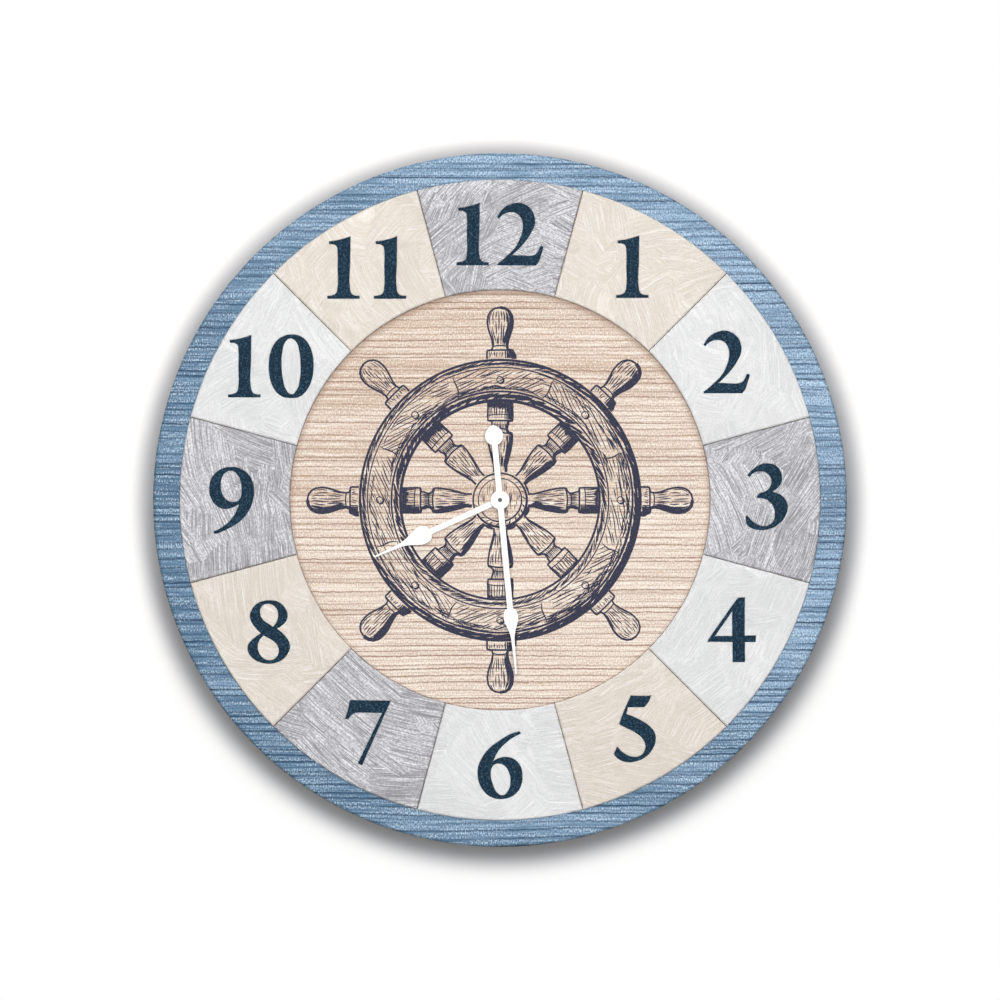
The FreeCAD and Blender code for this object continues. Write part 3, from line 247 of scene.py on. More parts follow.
class ClockStage(bpy.types.PropertyGroup):
    """Camera, lamps and room."""

    focal: FloatProperty(name="Focal length", description="Lens of the camera in millimetres", default=300,
                         min=10)
    frame_pixels: FloatProperty(name="Dial pixels", description="Radius of the board in the picture",
                                default=347.05, min=10)
    softbox_power: FloatProperty(name="Softbox", description="Power of the front softbox", default=27.2,
                                 unit="POWER")
    key_power: FloatProperty(name="Key", description="Power of the upper lamp", default=18, unit="POWER")
    rear_power: FloatProperty(name="Rear lamp", description="Power of the lamp behind", default=15,
                              unit="POWER")
    room_light: FloatProperty(name="Room light", description="Even light from all round", default=.04, min=0)
    floor_drop: length_of("Floor drop", "Distance from the dial's axis down to the floor", 1.5)
    seed: IntProperty(name="Seed", description="Seed of the hand-drawn strokes", default=11)


# ---- Node helpers -----------------------------------------------------------------------------------


class Value:
    """What a node gives out, so that sums in a node tree are written as plain sums."""

    def __init__(self, socket):
        self.socket, self.tree = socket, socket.id_data

    def __add__(self, other):
        return calc("ADD", self, other)

    def __sub__(self, other):
        return calc("SUBTRACT", self, other)

    def __rsub__(self, other):
        return calc("SUBTRACT", other, self)

    def __mul__(self, other):
        return calc("MULTIPLY", self, other)

    def __truediv__(self, other):
        return calc("DIVIDE", self, other)

    def __rtruediv__(self, other):
        return calc("DIVIDE", other, self)


def put(tree, kind, values=None, output=0, **settings):
    """Adds a node, sets its options, sets or links its inputs, and gives one of its outputs."""
    node = tree.nodes.new(kind)
    for key, value in settings.items():
        setattr(node, key, value)
    for key, value in (values or {}).items():
        if isinstance(value, Value):
            tree.links.new(value.socket, node.inputs[key])
        else:
            node.inputs[key].default_value = value
    return Value(node.outputs[output]) if node.outputs else None


def every(value):
    """All outputs of the node that a value comes from, by name."""
    return {socket.name: Value(socket) for socket in value.socket.node.outputs}


def calc(operation, *values):
    """The result of a Math node."""
    tree = next(value.tree for value in values if isinstance(value, Value))
    return put(tree, "ShaderNodeMath", dict(enumerate(values)), operation=operation)


def vector(operation, first, second):
    """The result of a Vector Math node; SCALE takes a number as its second value."""
    values = {0: first, 3 if operation == "SCALE" else 1: second}
    output = 1 if operation == "DISTANCE" else 0
    return put(first.tree, "ShaderNodeVectorMath", values, output, operation=operation)


def object_place(tree):
    """The Object coordinates."""
    return put(tree, "ShaderNodeTexCoord", output="Object")


def parts_of(place):
    """A place as X, Y and Z."""
    return every(put(place.tree, "ShaderNodeSeparateXYZ", {0: place}))


def channels_of(colour):
    """A colour as Red, Green and Blue."""
    return every(put(colour.tree, "ShaderNodeSeparateColor", {0: colour}))


def ramp(value, low, high, to_low=0.0, to_high=1.0):
    """A value carried smoothly from one range to another."""
    values = {"Value": value, "From Min": low, "From Max": high, "To Min": to_low, "To Max": to_high}
    return put(value.tree, "ShaderNodeMapRange", values, interpolation_type="SMOOTHSTEP")


def tint(factor, first, second):
    """Two colours mixed by a factor."""
    return put(factor.tree, "ShaderNodeMix", {0: factor, 6: first, 7: second}, 2, data_type="RGBA")


def layered(base, *layers):
    """A colour with others laid over it, each as strongly as a ramp of some value says."""
    for value, low, high, to_low, to_high, colour in layers:
        base = tint(ramp(value, low, high, to_low, to_high), base, colour)
    return base


def noise(place, scale=1.0, detail=2.0, roughness=.5, output="Fac"):
    """One output of a noise texture."""
    values = {"Vector": place, "Scale": scale, "Detail": detail, "Roughness": roughness}
    return put(place.tree, "ShaderNodeTexNoise", values, output)


def bump(height, depth):
    """The normals of a surface raised by a height, as deep as the depth in metres."""
    return put(height.tree, "ShaderNodeBump", {"Height": height, "Distance": depth, "Strength": 1.0})


def label_of(key):
    """The label of a group's input."""
    return key.replace("_", " ").title()


def shared_group(**inputs):
    """Makes a group out of a function that lays its nodes, the first time the group is asked for."""
    def wrap(lay):
        def group():
            if lay.__name__ in bpy.data.node_groups:
                return bpy.data.node_groups[lay.__name__]
            tree = bpy.data.node_groups.new(lay.__name__, "ShaderNodeTree")
            for key, default in {"vector": (0.0, 0.0, 0.0), **inputs}.items():
                kind = "NodeSocketVector" if isinstance(default, tuple) else "NodeSocketFloat"
                socket = tree.interface.new_socket(name=label_of(key), in_out="INPUT", socket_type=kind)
                socket.default_value = default
            given = tree.nodes.new("NodeGroupInput").outputs
            results = lay(Value(given["Vector"]), **{key: Value(given[label_of(key)]) for key in inputs})
            for label in results:
                tree.interface.new_socket(name=label, in_out="OUTPUT", socket_type="NodeSocketFloat")
            put(tree, "NodeGroupOutput", results)
            return tree
        return group
    return wrap


def use_group(tree, group, **values):
    """A group placed in a material on Object coordinates, and its outputs."""
    inputs = {label_of(key): value for key, value in values.items()}
    return every(put(tree, "ShaderNodeGroup", {"Vector": object_place(tree), **inputs}, node_tree=group()))


def grain_lines(level, width, seed):
    """Dark lines across a level, one to a whole number, each with a place and a strength of its own."""
    level = level + seed
    chance = put(level.tree, "ShaderNodeTexWhiteNoise", {"W": calc("FLOOR", level)}, "Color",
                 noise_dimensions="1D")
    chance = channels_of(chance)
    apart = calc("ABSOLUTE", calc("FRACT", level) - (chance["Red"] * .6 + .2))
    return ramp(apart, 0.0, width, 1.0, 0.0) * (chance["Green"] * .5 + .5)


@shared_group(spacing=.003, waviness=.004, line_width=.2, fleck_size=.0008)
def wood_figure(place, spacing, waviness, line_width, fleck_size):
    """Grain of a plank that runs along X: sharp dark lines, broad bands, fine streaks and flecks."""
    def stretched(sizes, **settings):
        return noise(vector("MULTIPLY", place, sizes), **settings)
    sway = (stretched((9, 9, 22), detail=2) - .5) * waviness
    shiver = (stretched((260, 260, 260), detail=2) - .5) * fleck_size
    height = parts_of(place)["Z"] + sway + shiver
    level = height / spacing
    bold = grain_lines(level, line_width, 11.0)
    fine = grain_lines(level * 1.9, line_width, 57.0) * .5
    fading = ramp(stretched((18, 18, 300), detail=2), .3, .52, .5, 1.0)
    dots = ramp(stretched((800, 800, 500), detail=1), .3, .5, .65, 1)
    lines = calc("MAXIMUM", bold, fine) * (fading * dots)
    bands = stretched((2.5, 8, 70), detail=3, roughness=.6)
    streaks = stretched((40, 40, 700), detail=3, roughness=.62)
    flecks = stretched((1.4, 1, .8), scale=1.0 / fleck_size, detail=2, roughness=.65)
    relief = flecks * .3 + streaks * .3 - lines
    return {"Lines": lines, "Bands": bands, "Streaks": streaks, "Flecks": flecks, "Relief": relief}


@shared_group(patch=.022, stroke=.0007)
def trowel_strokes(place, patch, stroke):
    """Trowelled plaster: sweeps of fine scratches, each patch of them round a centre of its own."""
    tree, middle, turns = place.tree, (.5, .5, .5), 55.0
    fineness = 1.0 / patch
    push = noise(place, scale=fineness * 2.2, detail=2, output="Color")
    bent = vector("ADD", place, vector("SCALE", vector("SUBTRACT", push, middle), patch))
    parts = parts_of(place)
    sweeps = []
    for shift, size in ((0.0, .8), (.37, 1.2)):
        values = {"Vector": vector("ADD", bent, (shift, 0, shift)), "Scale": fineness * size}
        cell = put(tree, "ShaderNodeTexVoronoi", values, "Color")
        pivot = vector("MULTIPLY", vector("SUBTRACT", cell, middle), (.22, 0, .22))
        across = vector("DISTANCE", place, pivot) / stroke
        spot = put(tree, "ShaderNodeCombineXYZ", {0: across, 1: parts["X"] * turns, 2: parts["Z"] * turns})
        sweeps.append((noise(spot, detail=4, roughness=.7), channels_of(cell)["Green"]))
    mask = ramp(noise(bent, scale=fineness * 1.7, detail=1), .46, .54)
    hairs, patches = (put(tree, "ShaderNodeMix", {0: mask, 2: first, 3: second})
                      for first, second in zip(*sweeps))
    return {"Strokes": ramp(hairs, .36, .64), "Patches": patches}


@shared_group(size=.0006, stretch=(1.0, 1.0, 1.0))
def fine_skin(place, size, stretch):
    """Fine unevenness of a moulded, rolled or painted surface, with scattered specks."""
    shaped, fineness = vector("MULTIPLY", place, stretch), 1.0 / size
    return {"Grain": noise(shaped, scale=fineness, detail=3, roughness=.6),
            "Clouds": noise(place, scale=fineness * .04, detail=3),
            "Specks": ramp(noise(shaped, scale=fineness * .8, detail=1), .56, .68)}


# ---- Finishes ---------------------------------------------------------------------------------------

# Darker bands of the blue board: height above the axis, half-width and depth of tone.
HEARTWOOD = ((0, 30 * MM, .42), (76 * MM, 18 * MM, .34), (-118 * MM, 12 * MM, .12))
PINE_GRAIN = {"spacing": .0028, "waviness": .004, "line_width": .19, "fleck_size": .0008}
LENGTHWAYS = (.06, 1.0, 1.0)
CELL_BAND = 12.5 * MM
WIRE = .22 * MM


def dress(colour, roughness, relief, depth, specular=.5, metallic=0.0):
    """What a finish feeds to its Principled shader."""
    return {"Base Color": colour, "Roughness": roughness, "Specular IOR Level": specular,
            "Metallic": metallic, "Normal": bump(relief, depth)}


def stained_wood(tree, shades):
    """Open-grained board under a blue stain, darker towards its lower left."""
    grain = use_group(tree, wood_figure, spacing=.0033, waviness=.006, line_width=.2, fleck_size=.0008)
    parts, line = parts_of(object_place(tree)), shades["stain_line"]
    lean = parts["X"] * 1.1 + parts["Z"] * .6
    base = tint(ramp(lean + grain["Bands"] * .8, .15, .62), shades["stain_dark"], shades["stain_light"])
    for level, reach, depth in HEARTWOOD:
        apart = calc("ABSOLUTE", parts["Z"] - (AXIS.z + level))
        base = layered(base, (apart, 0, reach, depth, 0, line))
    base = layered(base, (grain["Streaks"], .32, .54, .4, 0, line), (grain["Flecks"], .34, .58, .66, 0, line))
    bright = ramp(grain["Flecks"], .45, .64) * ramp(grain["Streaks"], .4, .62)
    base = tint(bright * .8, base, paint(218, 236, 250))
    base = tint(grain["Lines"], base, paint(28, 56, 84))
    return dress(base, ramp(grain["Flecks"], .3, .7, .5, .72), grain["Relief"], .0003, .25)


def pale_wood(tree, shades):
    """Pale pine with fine grain lines, a little deeper in tone towards its top, and a painted shadow of the tiles
    darkening its edge, most at the top.
    """
    grain = use_group(tree, wood_figure, **PINE_GRAIN)
    parts, line, light = parts_of(object_place(tree)), shades["pine_line"], paint(252, 245, 235)
    lean = parts["Z"] * 1.5 - parts["X"] * .7
    deep = ramp(lean - grain["Bands"] * .7, -.5, -.2)
    base = layered(tint(deep * .9, shades["pine"], paint(206, 180, 158)),
                   (grain["Streaks"], .34, .54, .36, 0, line), (grain["Flecks"], .36, .58, .62, 0, line),
                   (grain["Streaks"], .48, .66, 0, .5, light), (grain["Flecks"], .48, .64, 0, .7, light))
    base = tint(grain["Lines"], base, paint(142, 104, 82))
    # Painted shadow of the tiles on the disc: a brown darkening along the edge, centred 1 mm below the axis so
    # that it is deepest at the top.
    away = vector("DISTANCE", object_place(tree), (AXIS.x, disc_low.y, AXIS.z - 1.0 * MM))
    base = layered(base, (away, DISC_RADIUS - 2.8 * MM, DISC_RADIUS + 1.0 * MM, 0, .6, paint(138, 108, 88)))
    return dress(base, ramp(grain["Flecks"], .3, .7, .52, .7), grain["Relief"], .00012, .25)


def raw_board(tree, shades):
    """Sanded back of the board, with cut fibres and no stain."""
    grain = use_group(tree, wood_figure, spacing=.007, waviness=.012, line_width=.1, fleck_size=.0012)
    fibre = paint(160, 130, 98)
    base = layered(shades["raw_board"], (grain["Bands"], .3, .7, 0, 1, paint(212, 190, 160)),
                   (grain["Streaks"], .35, .6, .4, 0, fibre), (grain["Flecks"], .35, .65, .3, 0, fibre))
    base = tint(grain["Lines"] * .45, base, paint(142, 110, 80))
    return dress(base, ramp(grain["Flecks"], .3, .7, .7, .85), grain["Relief"], .0002, .2)


def plaster(tone, shade, contrast, patch, stroke):
    """Trowelled skim coat: sweeps of scratches, a little uneven in tone from patch to patch, with painted
    highlights on the raised strokes and painted shade on the low ones.
    """
    def lay(tree, shades):
        skim = use_group(tree, trowel_strokes, patch=patch, stroke=stroke)
        grit = use_group(tree, fine_skin, size=.0009)["Grain"]
        # The strokes' colour is partly the coat's own tone and partly painted light: raised strokes are painted
        # lighter as highlights, low ones darker as shade.
        base = layered(shades[tone], (skim["Patches"], .1, .9, contrast * .5, 0, paint(*shade)),
                       (skim["Strokes"], 0, .55, contrast, 0, paint(*shade)),
                       (skim["Strokes"], .55, .95, 0, contrast, paint(249, 249, 250)),
                       (grit, .36, .6, contrast * .55, 0, paint(*shade)))
        return dress(base, ramp(skim["Strokes"], 0, 1, .66, .54), skim["Strokes"], .00012, .25)
    return lay


def numeral_paint(tree, shades):
    """Dark blue paint with a fine lighter speckle."""
    grain = use_group(tree, fine_skin, size=.00075)["Grain"]
    base = layered(shades["numeral"], (grain, .48, .66, 0, .6, paint(74, 108, 132)))
    return dress(base, ramp(grain, .3, .7, .45, .65), grain, .00005, .05)


def print_ink(tree, shades):
    """Ink of the print, worn a little where the grain stands up."""
    flecks = use_group(tree, wood_figure, **PINE_GRAIN)["Flecks"]
    base = layered(shades["ink"], (flecks, .5, .75, 0, .3, paint(150, 132, 130)))
    return {"Base Color": base, "Roughness": ramp(flecks, .3, .7, .55, .7), "Specular IOR Level": .05}


def skinned(colour, second, roughness, size, depth, metallic=0.0, stretch=(1.0, 1.0, 1.0), specks=0.0):
    """A moulded, painted or metal finish: two near colours, uneven gloss and fine relief."""
    def lay(tree, shades):
        skin = use_group(tree, fine_skin, size=size, stretch=stretch)
        base = layered(paint(*colour), (skin["Clouds"], .35, .65, 0, 1, paint(*second)),
                       (skin["Grain"], .3, .7, .35, 0, paint(*second)))
        if specks:
            base = tint(skin["Specks"] * specks, base, paint(120, 120, 124))
        return dress(base, ramp(skin["Grain"], .3, .7, *roughness), skin["Grain"], depth, metallic=metallic)
    return lay


def cell_jacket(tree, shades):
    """Plain printed film round the cell: dark sleeve and a copper-coloured band at the positive end."""
    skin = use_group(tree, fine_skin, size=.0008)
    along = parts_of(object_place(tree))["X"] - (cell_high.x - CELL_BAND)
    base = tint(calc("GREATER_THAN", along, 0.0), paint(47, 74, 62), paint(186, 122, 76))
    base = tint(calc("LESS_THAN", calc("ABSOLUTE", along), .35 * MM), base, paint(222, 220, 212))
    base = layered(base, (skin["Grain"], .35, .7, .12, 0, paint(20, 24, 24)))
    return dress(base, ramp(skin["Clouds"], .3, .7, .28, .4), skin["Clouds"], .00006)


def winding_wire(tree, shades):
    """Fine enamelled wire laid side by side round the coil, with painted shade in the grooves between turns."""
    turns = calc("SINE", parts_of(object_place(tree))["X"] * (tau / WIRE))
    grain = use_group(tree, fine_skin, size=.0004)["Grain"]
    # Painted shade: the wire is darkened where the turns' relief is lowest, between two turns.
    base = layered(paint(186, 104, 58), (turns, -1, .2, .7, 0, paint(96, 44, 22)),
                   (grain, .4, .7, .2, 0, paint(120, 60, 30)))
    return dress(base, ramp(turns, -1, 1, .5, .3), turns, .00004, metallic=1.0)


RECIPES = {
    "blue_stained_wood": stained_wood,
    "pale_wood": pale_wood,
    "raw_board": raw_board,
    "plaster_cream": plaster("cream", (210, 194, 178), .4, .04, .0004),
    "plaster_white": plaster("white", (205, 206, 208), .4, .04, .0004),
    "plaster_grey": plaster("grey", (142, 140, 147), .95, .046, .00034),
    "numeral_paint": numeral_paint,
    "print_ink": print_ink,
    "copper_wire": winding_wire,
    "cell_jacket": cell_jacket,
    "white_enamel": skinned((246, 246, 244), (238, 238, 236), (.32, .45), .0009, .00002),
    "brass": skinned((214, 178, 106), (196, 156, 84), (.2, .38), .0006, .00002, 1.0, LENGTHWAYS),
    "zinc_plated_steel": skinned((196, 198, 202), (176, 180, 188), (.26, .46), .0011, .00002, 1.0,
                                 LENGTHWAYS),
    "black_rubber": skinned((40, 40, 41), (32, 32, 33), (.7, .9), .0009, .00006),
    "black_plastic": skinned((44, 44, 46), (37, 37, 39), (.42, .62), .00045, .00004, specks=.12),
    "white_gear_plastic": skinned((236, 236, 230), (226, 226, 218), (.35, .5), .0006, .00002),
    "dark_gear_plastic": skinned((62, 62, 66), (50, 50, 54), (.35, .5), .0005, .00002),
    "yellow_gear_plastic": skinned((226, 200, 116), (214, 186, 98), (.35, .5), .0006, .00002),
    "green_gear_plastic": skinned((104, 164, 132), (90, 150, 118), (.35, .5), .0006, .00002),
    "magnet": skinned((74, 74, 78), (60, 60, 64), (.45, .65), .0003, .00002, .6),
    "bright_iron": skinned((176, 178, 182), (158, 160, 166), (.25, .42), .0008, .00002, 1.0, LENGTHWAYS),
    "circuit_laminate": skinned((42, 108, 70), (34, 94, 60), (.3, .45), .0009, .00002, specks=.15),
    "nickel_plate": skinned((212, 208, 200), (196, 192, 186), (.16, .3), .0009, .00001, 1.0),
    "black_resin": skinned((26, 26, 28), (20, 20, 22), (.12, .25), .0012, .00003),
}


def bare_tree(owner):
    """The emptied node tree of a material or a world."""
    owner.use_nodes = True
    owner.node_tree.nodes.clear()
    return owner.node_tree


def finish(slot):
    """The material of one of the record's slots, made the first time it is asked for."""
    name = slot + "_finish"
    if name in bpy.data.materials:
        return bpy.data.materials[name]
    colours = bpy.context.scene.clock_colours
    shades = {key: tuple(getattr(colours, key)) for key in ClockColours.__annotations__}
    material = bpy.data.materials.new(name)
    tree = bare_tree(material)
    shader = put(tree, "ShaderNodeBsdfPrincipled", RECIPES[slot](tree, shades))
    put(tree, "ShaderNodeOutputMaterial", {"Surface": shader})
    return material


# ---- Mesh helpers -----------------------------------------------------------------------------------


def placed(name, data):
    """A new object in the scene."""
    thing = bpy.data.objects.new(name, data)
    bpy.context.scene.collection.objects.link(thing)
    return thing


def shape_of(mesh):
    """A shape that starts out as a mesh."""
    shape = bmesh.new()
    shape.from_mesh(mesh)
    return shape


def store(shape, mesh):
    """Writes a finished shape to a mesh."""
    shape.to_mesh(mesh)
    shape.free()


def move(shape, place):
    """Moves a whole shape."""
    bmesh.ops.translate(shape, vec=place, verts=shape.verts)


def new_piece(name, body, *slots, named_slot=None):
    """An empty mesh piece at the origin that will ride on a body, with its materials."""
    piece = placed(name, bpy.data.meshes.new(name))
    for slot in slots:
        piece.data.materials.append(finish(slot))
    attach(piece, body)
    return piece


def merge(shape):
    """Joins the vertices that touch."""
    bmesh.ops.remove_doubles(shape, verts=shape.verts, dist=TOUCH)


def fill_piece(piece, shape, sharp=30.0, weighted=True):
    """Gives a piece its mesh, smooth but for the edges sharper than an angle in degrees."""
    merge(shape)
    bmesh.ops.recalc_face_normals(shape, faces=shape.faces)
    if shape.calc_volume(signed=True) < 0:
        bmesh.ops.reverse_faces(shape, faces=shape.faces)
    limit = radians(sharp)
    for face in shape.faces:
        face.smooth = True
    for edge in shape.edges:
        edge.smooth = len(edge.link_faces) == 2 and edge.calc_face_angle(0) < limit
    store(shape, piece.data)
    if weighted:
        normals = piece.modifiers.new("flat_faces", "WEIGHTED_NORMAL")
        normals.keep_sharp = True
        normals.weight = 80


def spin(points, centre, axis, steps, angle=tau, closed=True):
    """A shape spun round an axis from a line of points that is closed or open."""
    shape = bmesh.new()
    verts = [shape.verts.new(point) for point in points]
    edges = [shape.edges.new((verts[i - 1], verts[i])) for i in range(0 if closed else 1, len(verts))]
    bmesh.ops.spin(shape, geom=verts + edges, cent=centre, axis=axis, angle=angle, steps=steps,
                   use_merge=angle == tau)
    merge(shape)
    return shape


def ring_of(profile, steps):
    """A closed profile of (radius, level) points spun round the dial's axis."""
    return spin([(AXIS.x, level, AXIS.z + radius) for radius, level in profile], AXIS, (0, 1, 0), steps)


def radius_of(vert):
    """Distance of a vertex from the dial's axis."""
    return hypot(vert.co.x - AXIS.x, vert.co.z - AXIS.z)


def round_edges(shape, edges, size, segments):
    """Rounds a set of edges."""
    bmesh.ops.bevel(shape, geom=edges, offset=size, offset_type="OFFSET", segments=segments, profile=.5,
                    affect="EDGES", material=-1, clamp_overlap=True, loop_slide=True)


def ring_edges(shape, radius, level):
    """The edges of one circle of a spun shape."""
    def on(vert):
        return abs(radius_of(vert) - radius) < NEAR and abs(vert.co.y - level) < NEAR
    return [edge for edge in shape.edges if on(edge.verts[0]) and on(edge.verts[1])]


def evaluated_mesh(source):
    """The mesh of an object with its modifiers, or of a curve."""
    bpy.context.view_layer.update()
    graph = bpy.context.evaluated_depsgraph_get()
    return bpy.data.meshes.new_from_object(source.evaluated_get(graph), depsgraph=graph)


def solid_of(curve):
    """The mesh that a curve draws."""
    holder = placed(curve.name, curve)
    mesh = evaluated_mesh(holder)
    bpy.data.objects.remove(holder)
    shape = shape_of(mesh)
    bpy.data.meshes.remove(mesh)
    return shape


def carve(piece, cutter):
    """Cuts a closed mesh out of a piece."""
    cut = piece.modifiers.new("cut", "BOOLEAN")
    cut.operation, cut.solver, cut.object = "DIFFERENCE", "EXACT", cutter
    result = evaluated_mesh(piece)
    if len(result.polygons) <= len(piece.data.polygons):
        raise RuntimeError(f"The cut in {piece.name} left no walls")
    piece.modifiers.remove(cut)
    materials = list(piece.data.materials)
    piece.data = result
    piece.data.materials.clear()
    for material in materials:
        piece.data.materials.append(material)
    bpy.data.objects.remove(cutter)


def settle(piece):
    """Sets the shading of a carved piece."""
    piece.modifiers.clear()
    fill_piece(piece, shape_of(piece.data))


UPRIGHT = Matrix(((1, 0, 0), (0, 0, -1), (0, 1, 0))).to_4x4()


def flat_drawing(outlines, half_thickness, slope=0.0, offset=0.0):
    """A closed solid drawn in the dial's plane from outlines of (x, z, corner) points."""
    curve = bpy.data.curves.new("drawing", "CURVE")
    curve.dimensions, curve.fill_mode, curve.resolution_u = "2D", "BOTH", 5
    curve.extrude, curve.bevel_depth, curve.bevel_resolution, curve.offset = half_thickness, slope, 0, offset
    for outline in outlines:
        spline = curve.splines.new("BEZIER")
        spline.bezier_points.add(len(outline) - 1)
        spline.use_cyclic_u = True
        for point, (x, z, _) in zip(spline.bezier_points, outline):
            point.co = (x, z, 0)
        for point, (_, _, corner) in zip(spline.bezier_points, outline):
            point.handle_left_type = point.handle_right_type = "VECTOR" if corner else "AUTO"
    shape = solid_of(curve)
    bmesh.ops.remove_doubles(shape, verts=shape.verts, dist=DRAWN_TOUCH)
    bmesh.ops.transform(shape, matrix=UPRIGHT, verts=shape.verts)
    bmesh.ops.recalc_face_normals(shape, faces=shape.faces)
    return shape


def lay_film(name, slot, outlines, film, place, offset=0.0):
    """A thin layer of paint on the floor of a cut."""
    shape = flat_drawing(outlines, film, 0, offset)
    move(shape, place)
    fill_piece(new_piece(name, "clock", slot), shape, weighted=False)


def as_cutter(shape, place):
    """A drawn solid moved to its place, as an object that is cut with and thrown away."""
    move(shape, place)
    mesh = bpy.data.meshes.new("cutter")
    store(shape, mesh)
    return placed("cutter", mesh)


def dressed_copy(name, node, body, slot, edge_size, segments=2, sharp=32.0):
    """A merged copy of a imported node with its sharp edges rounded, which takes the node's place."""
    piece = new_piece(name, body, slot, named_slot=slot)
    shape = shape_of(frame["nodes"][node].data)
    merge(shape)
    bmesh.ops.dissolve_limit(shape, angle_limit=radians(1.0), verts=shape.verts, edges=shape.edges)
    limit = radians(sharp)
    sharp_edges = [edge for edge in shape.edges
                   if len(edge.link_faces) == 2 and edge.calc_face_angle(0) > limit]
    round_edges(shape, sharp_edges, edge_size, segments)
    fill_piece(piece, shape)
    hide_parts(node)
    return piece


# ---- The printed wheel ------------------------------------------------------------------------------

# The print is measured in picture pixels from the dial's axis and in degrees clockwise from the top.
SHADE_TOWARDS = Vector((.6, -.8))
# Half-widths of a spoke and of a handle along the radius.
SPOKE_PROFILE = ((28, 6), (34, 6), (42, 8.2), (50, 10.2), (58, 11.6), (64, 12), (66.5, 11.4), (67.5, 8.6),
                 (70, 6.8), (73, 6.8), (76, 8), (78.5, 8.2), (79.5, 12), (84, 12.3), (92, 12), (99, 12))
HANDLE_PROFILE = ((141, 13), (148, 13), (149.5, 12.4), (150.5, 8), (154, 7), (160, 8), (166, 10),
                  (172, 11.9), (178, 12.6), (184, 11.9), (188.5, 9.4), (191.4, 5.5), (192.6, 0))
# Lines round a spoke and its handle: radius, half-length, bow and width.
TURNED_RINGS = ((65.5, 11.4, 2.0, 1.6), (70.5, 6.6, 1.2, 1.2), (79.4, 12, 0, 1.8), (84.5, 12, 1.2, 1.1),
                (149.4, 12.6, .6, 1.7), (153.5, 6.8, 1.0, 1.3))
# How far the grain of each felloe of the rim leans.
FELLOE_TILTS = (24, -19, 13, -23, 21, -12, 25, -18)
# Circles: radius, thin width, thick width and the angle at which it is thick.
RIM_CIRCLES = ((140.0, 2.4, 3.8, 130), (132.6, 1.2, 2.2, 130), (108.6, 1.3, 2.1, 330), (99.6, 2.2, 3.4, 340))
HUB_CIRCLES = ((26.8, 1.6, 2.8, 140), (21.6, 1.0, 1.7, 140))
# Hatched edges of the rim: inner and outer radius, angle of the deepest shade and number of strokes.
HATCHED_EDGES = ((133.6, 139.6, 125, 330), (100.4, 107.8, 335, 290))
# Shaded flanks of the rim: inner and outer radius, middle angle, spread and number of strokes.
SHADED_FLANKS = ((123, 131.8, 130, 62, 210), (109.4, 115, 320, 60, 150))
# How flat the strokes are pressed, and how far their middle stands off the disc.
INK_FLATNESS, INK_STANDS = .05, .008 * MM
THIRDS, QUARTERS, FIFTHS = (0, .33, .66, 1), (0, .25, .5, .75, 1), (0, .2, .4, .6, .8, 1)


def polar(radius, angle):
    """The point at a radius and an angle."""
    turn = radians(angle)
    return Vector((radius * sin(turn), radius * cos(turn)))


def facing(angle, towards):
    """1 where an angle looks one way, falling to 0 on the far side."""
    return (1 + cos(radians(angle - towards))) / 2


def share_of(profile, radius):
    """A profile's half-width at a radius."""
    for (r0, s0), (r1, s1) in zip(profile, profile[1:]):
        if r0 <= radius <= r1:
            return s0 + (s1 - s0) * (radius - r0) / (r1 - r0)
    return profile[-1][1]


class Pen:
    """Collects the strokes of the print, and picks what chance decides."""

    def __init__(self, seed):
        self.strokes = []
        self.pick = random.Random(seed)
        self.between = self.pick.uniform

    def draw(self, points, widths, closed=False):
        """A stroke through the points, with a width at each."""
        self.strokes.append((points, widths, closed))

    def tapered(self, points, width):
        """A stroke that swells from a fine start and ends fine."""
        last = len(points) - 1
        self.draw(points, [width * (.25 + .75 * sin(pi * i / last) ** .6) if 0 < i < last
                           else width * .2 for i in range(last + 1)])

    def circle(self, radius, thin, thick, towards):
        """A circle that is thicker towards one side."""
        angles = [2.5 * i for i in range(144)]
        self.draw([polar(radius, a) for a in angles],
                  [thin + (thick - thin) * facing(a, towards) ** 1.6 for a in angles], True)


def draw_rim(pen):
    """The wheel's rim: its outlines, the hatching of its two edges and the grain of its felloes."""
    between = pen.between
    for circle in RIM_CIRCLES:
        pen.circle(*circle)
    for first, last, heavy, count in HATCHED_EDGES:
        for i in range(count):
            angle = 360 * (i + between(-.4, .4)) / count
            sweep = between(5, 11)
            start, end = between(first, first + 3), between(last - 3, last)
            points = [polar(start + (end - start) * t, angle + sweep * t) for t in QUARTERS]
            pen.tapered(points, .95 + 1.5 * facing(angle, heavy) ** 1.3 * between(.6, 1.2))
    for felloe, tilt in enumerate(FELLOE_TILTS):
        middle = SPOKE_STEP * felloe
        offset = -60.0
        while offset < 60:
            offset += between(2.0, 4.0)
            grain_line(pen, middle, tilt, offset)
        seam = middle + SPOKE_STEP / 2
        pen.tapered([polar(109.5 + 22.5 * t, seam + 2.4 * t + .8 * sin(5 * t)) for t in FIFTHS], 1.5)
    for low, high, heavy, spread, count in SHADED_FLANKS:
        for _ in range(count):
            angle = pen.pick.gauss(heavy, spread)
            radius, sweep = between(low, high - 1), between(4, 11)
            points = [polar(min(radius + 1.2 * sin(3 * t), high), angle + sweep * t) for t in QUARTERS]
            pen.tapered(points, between(.6, 1.2))


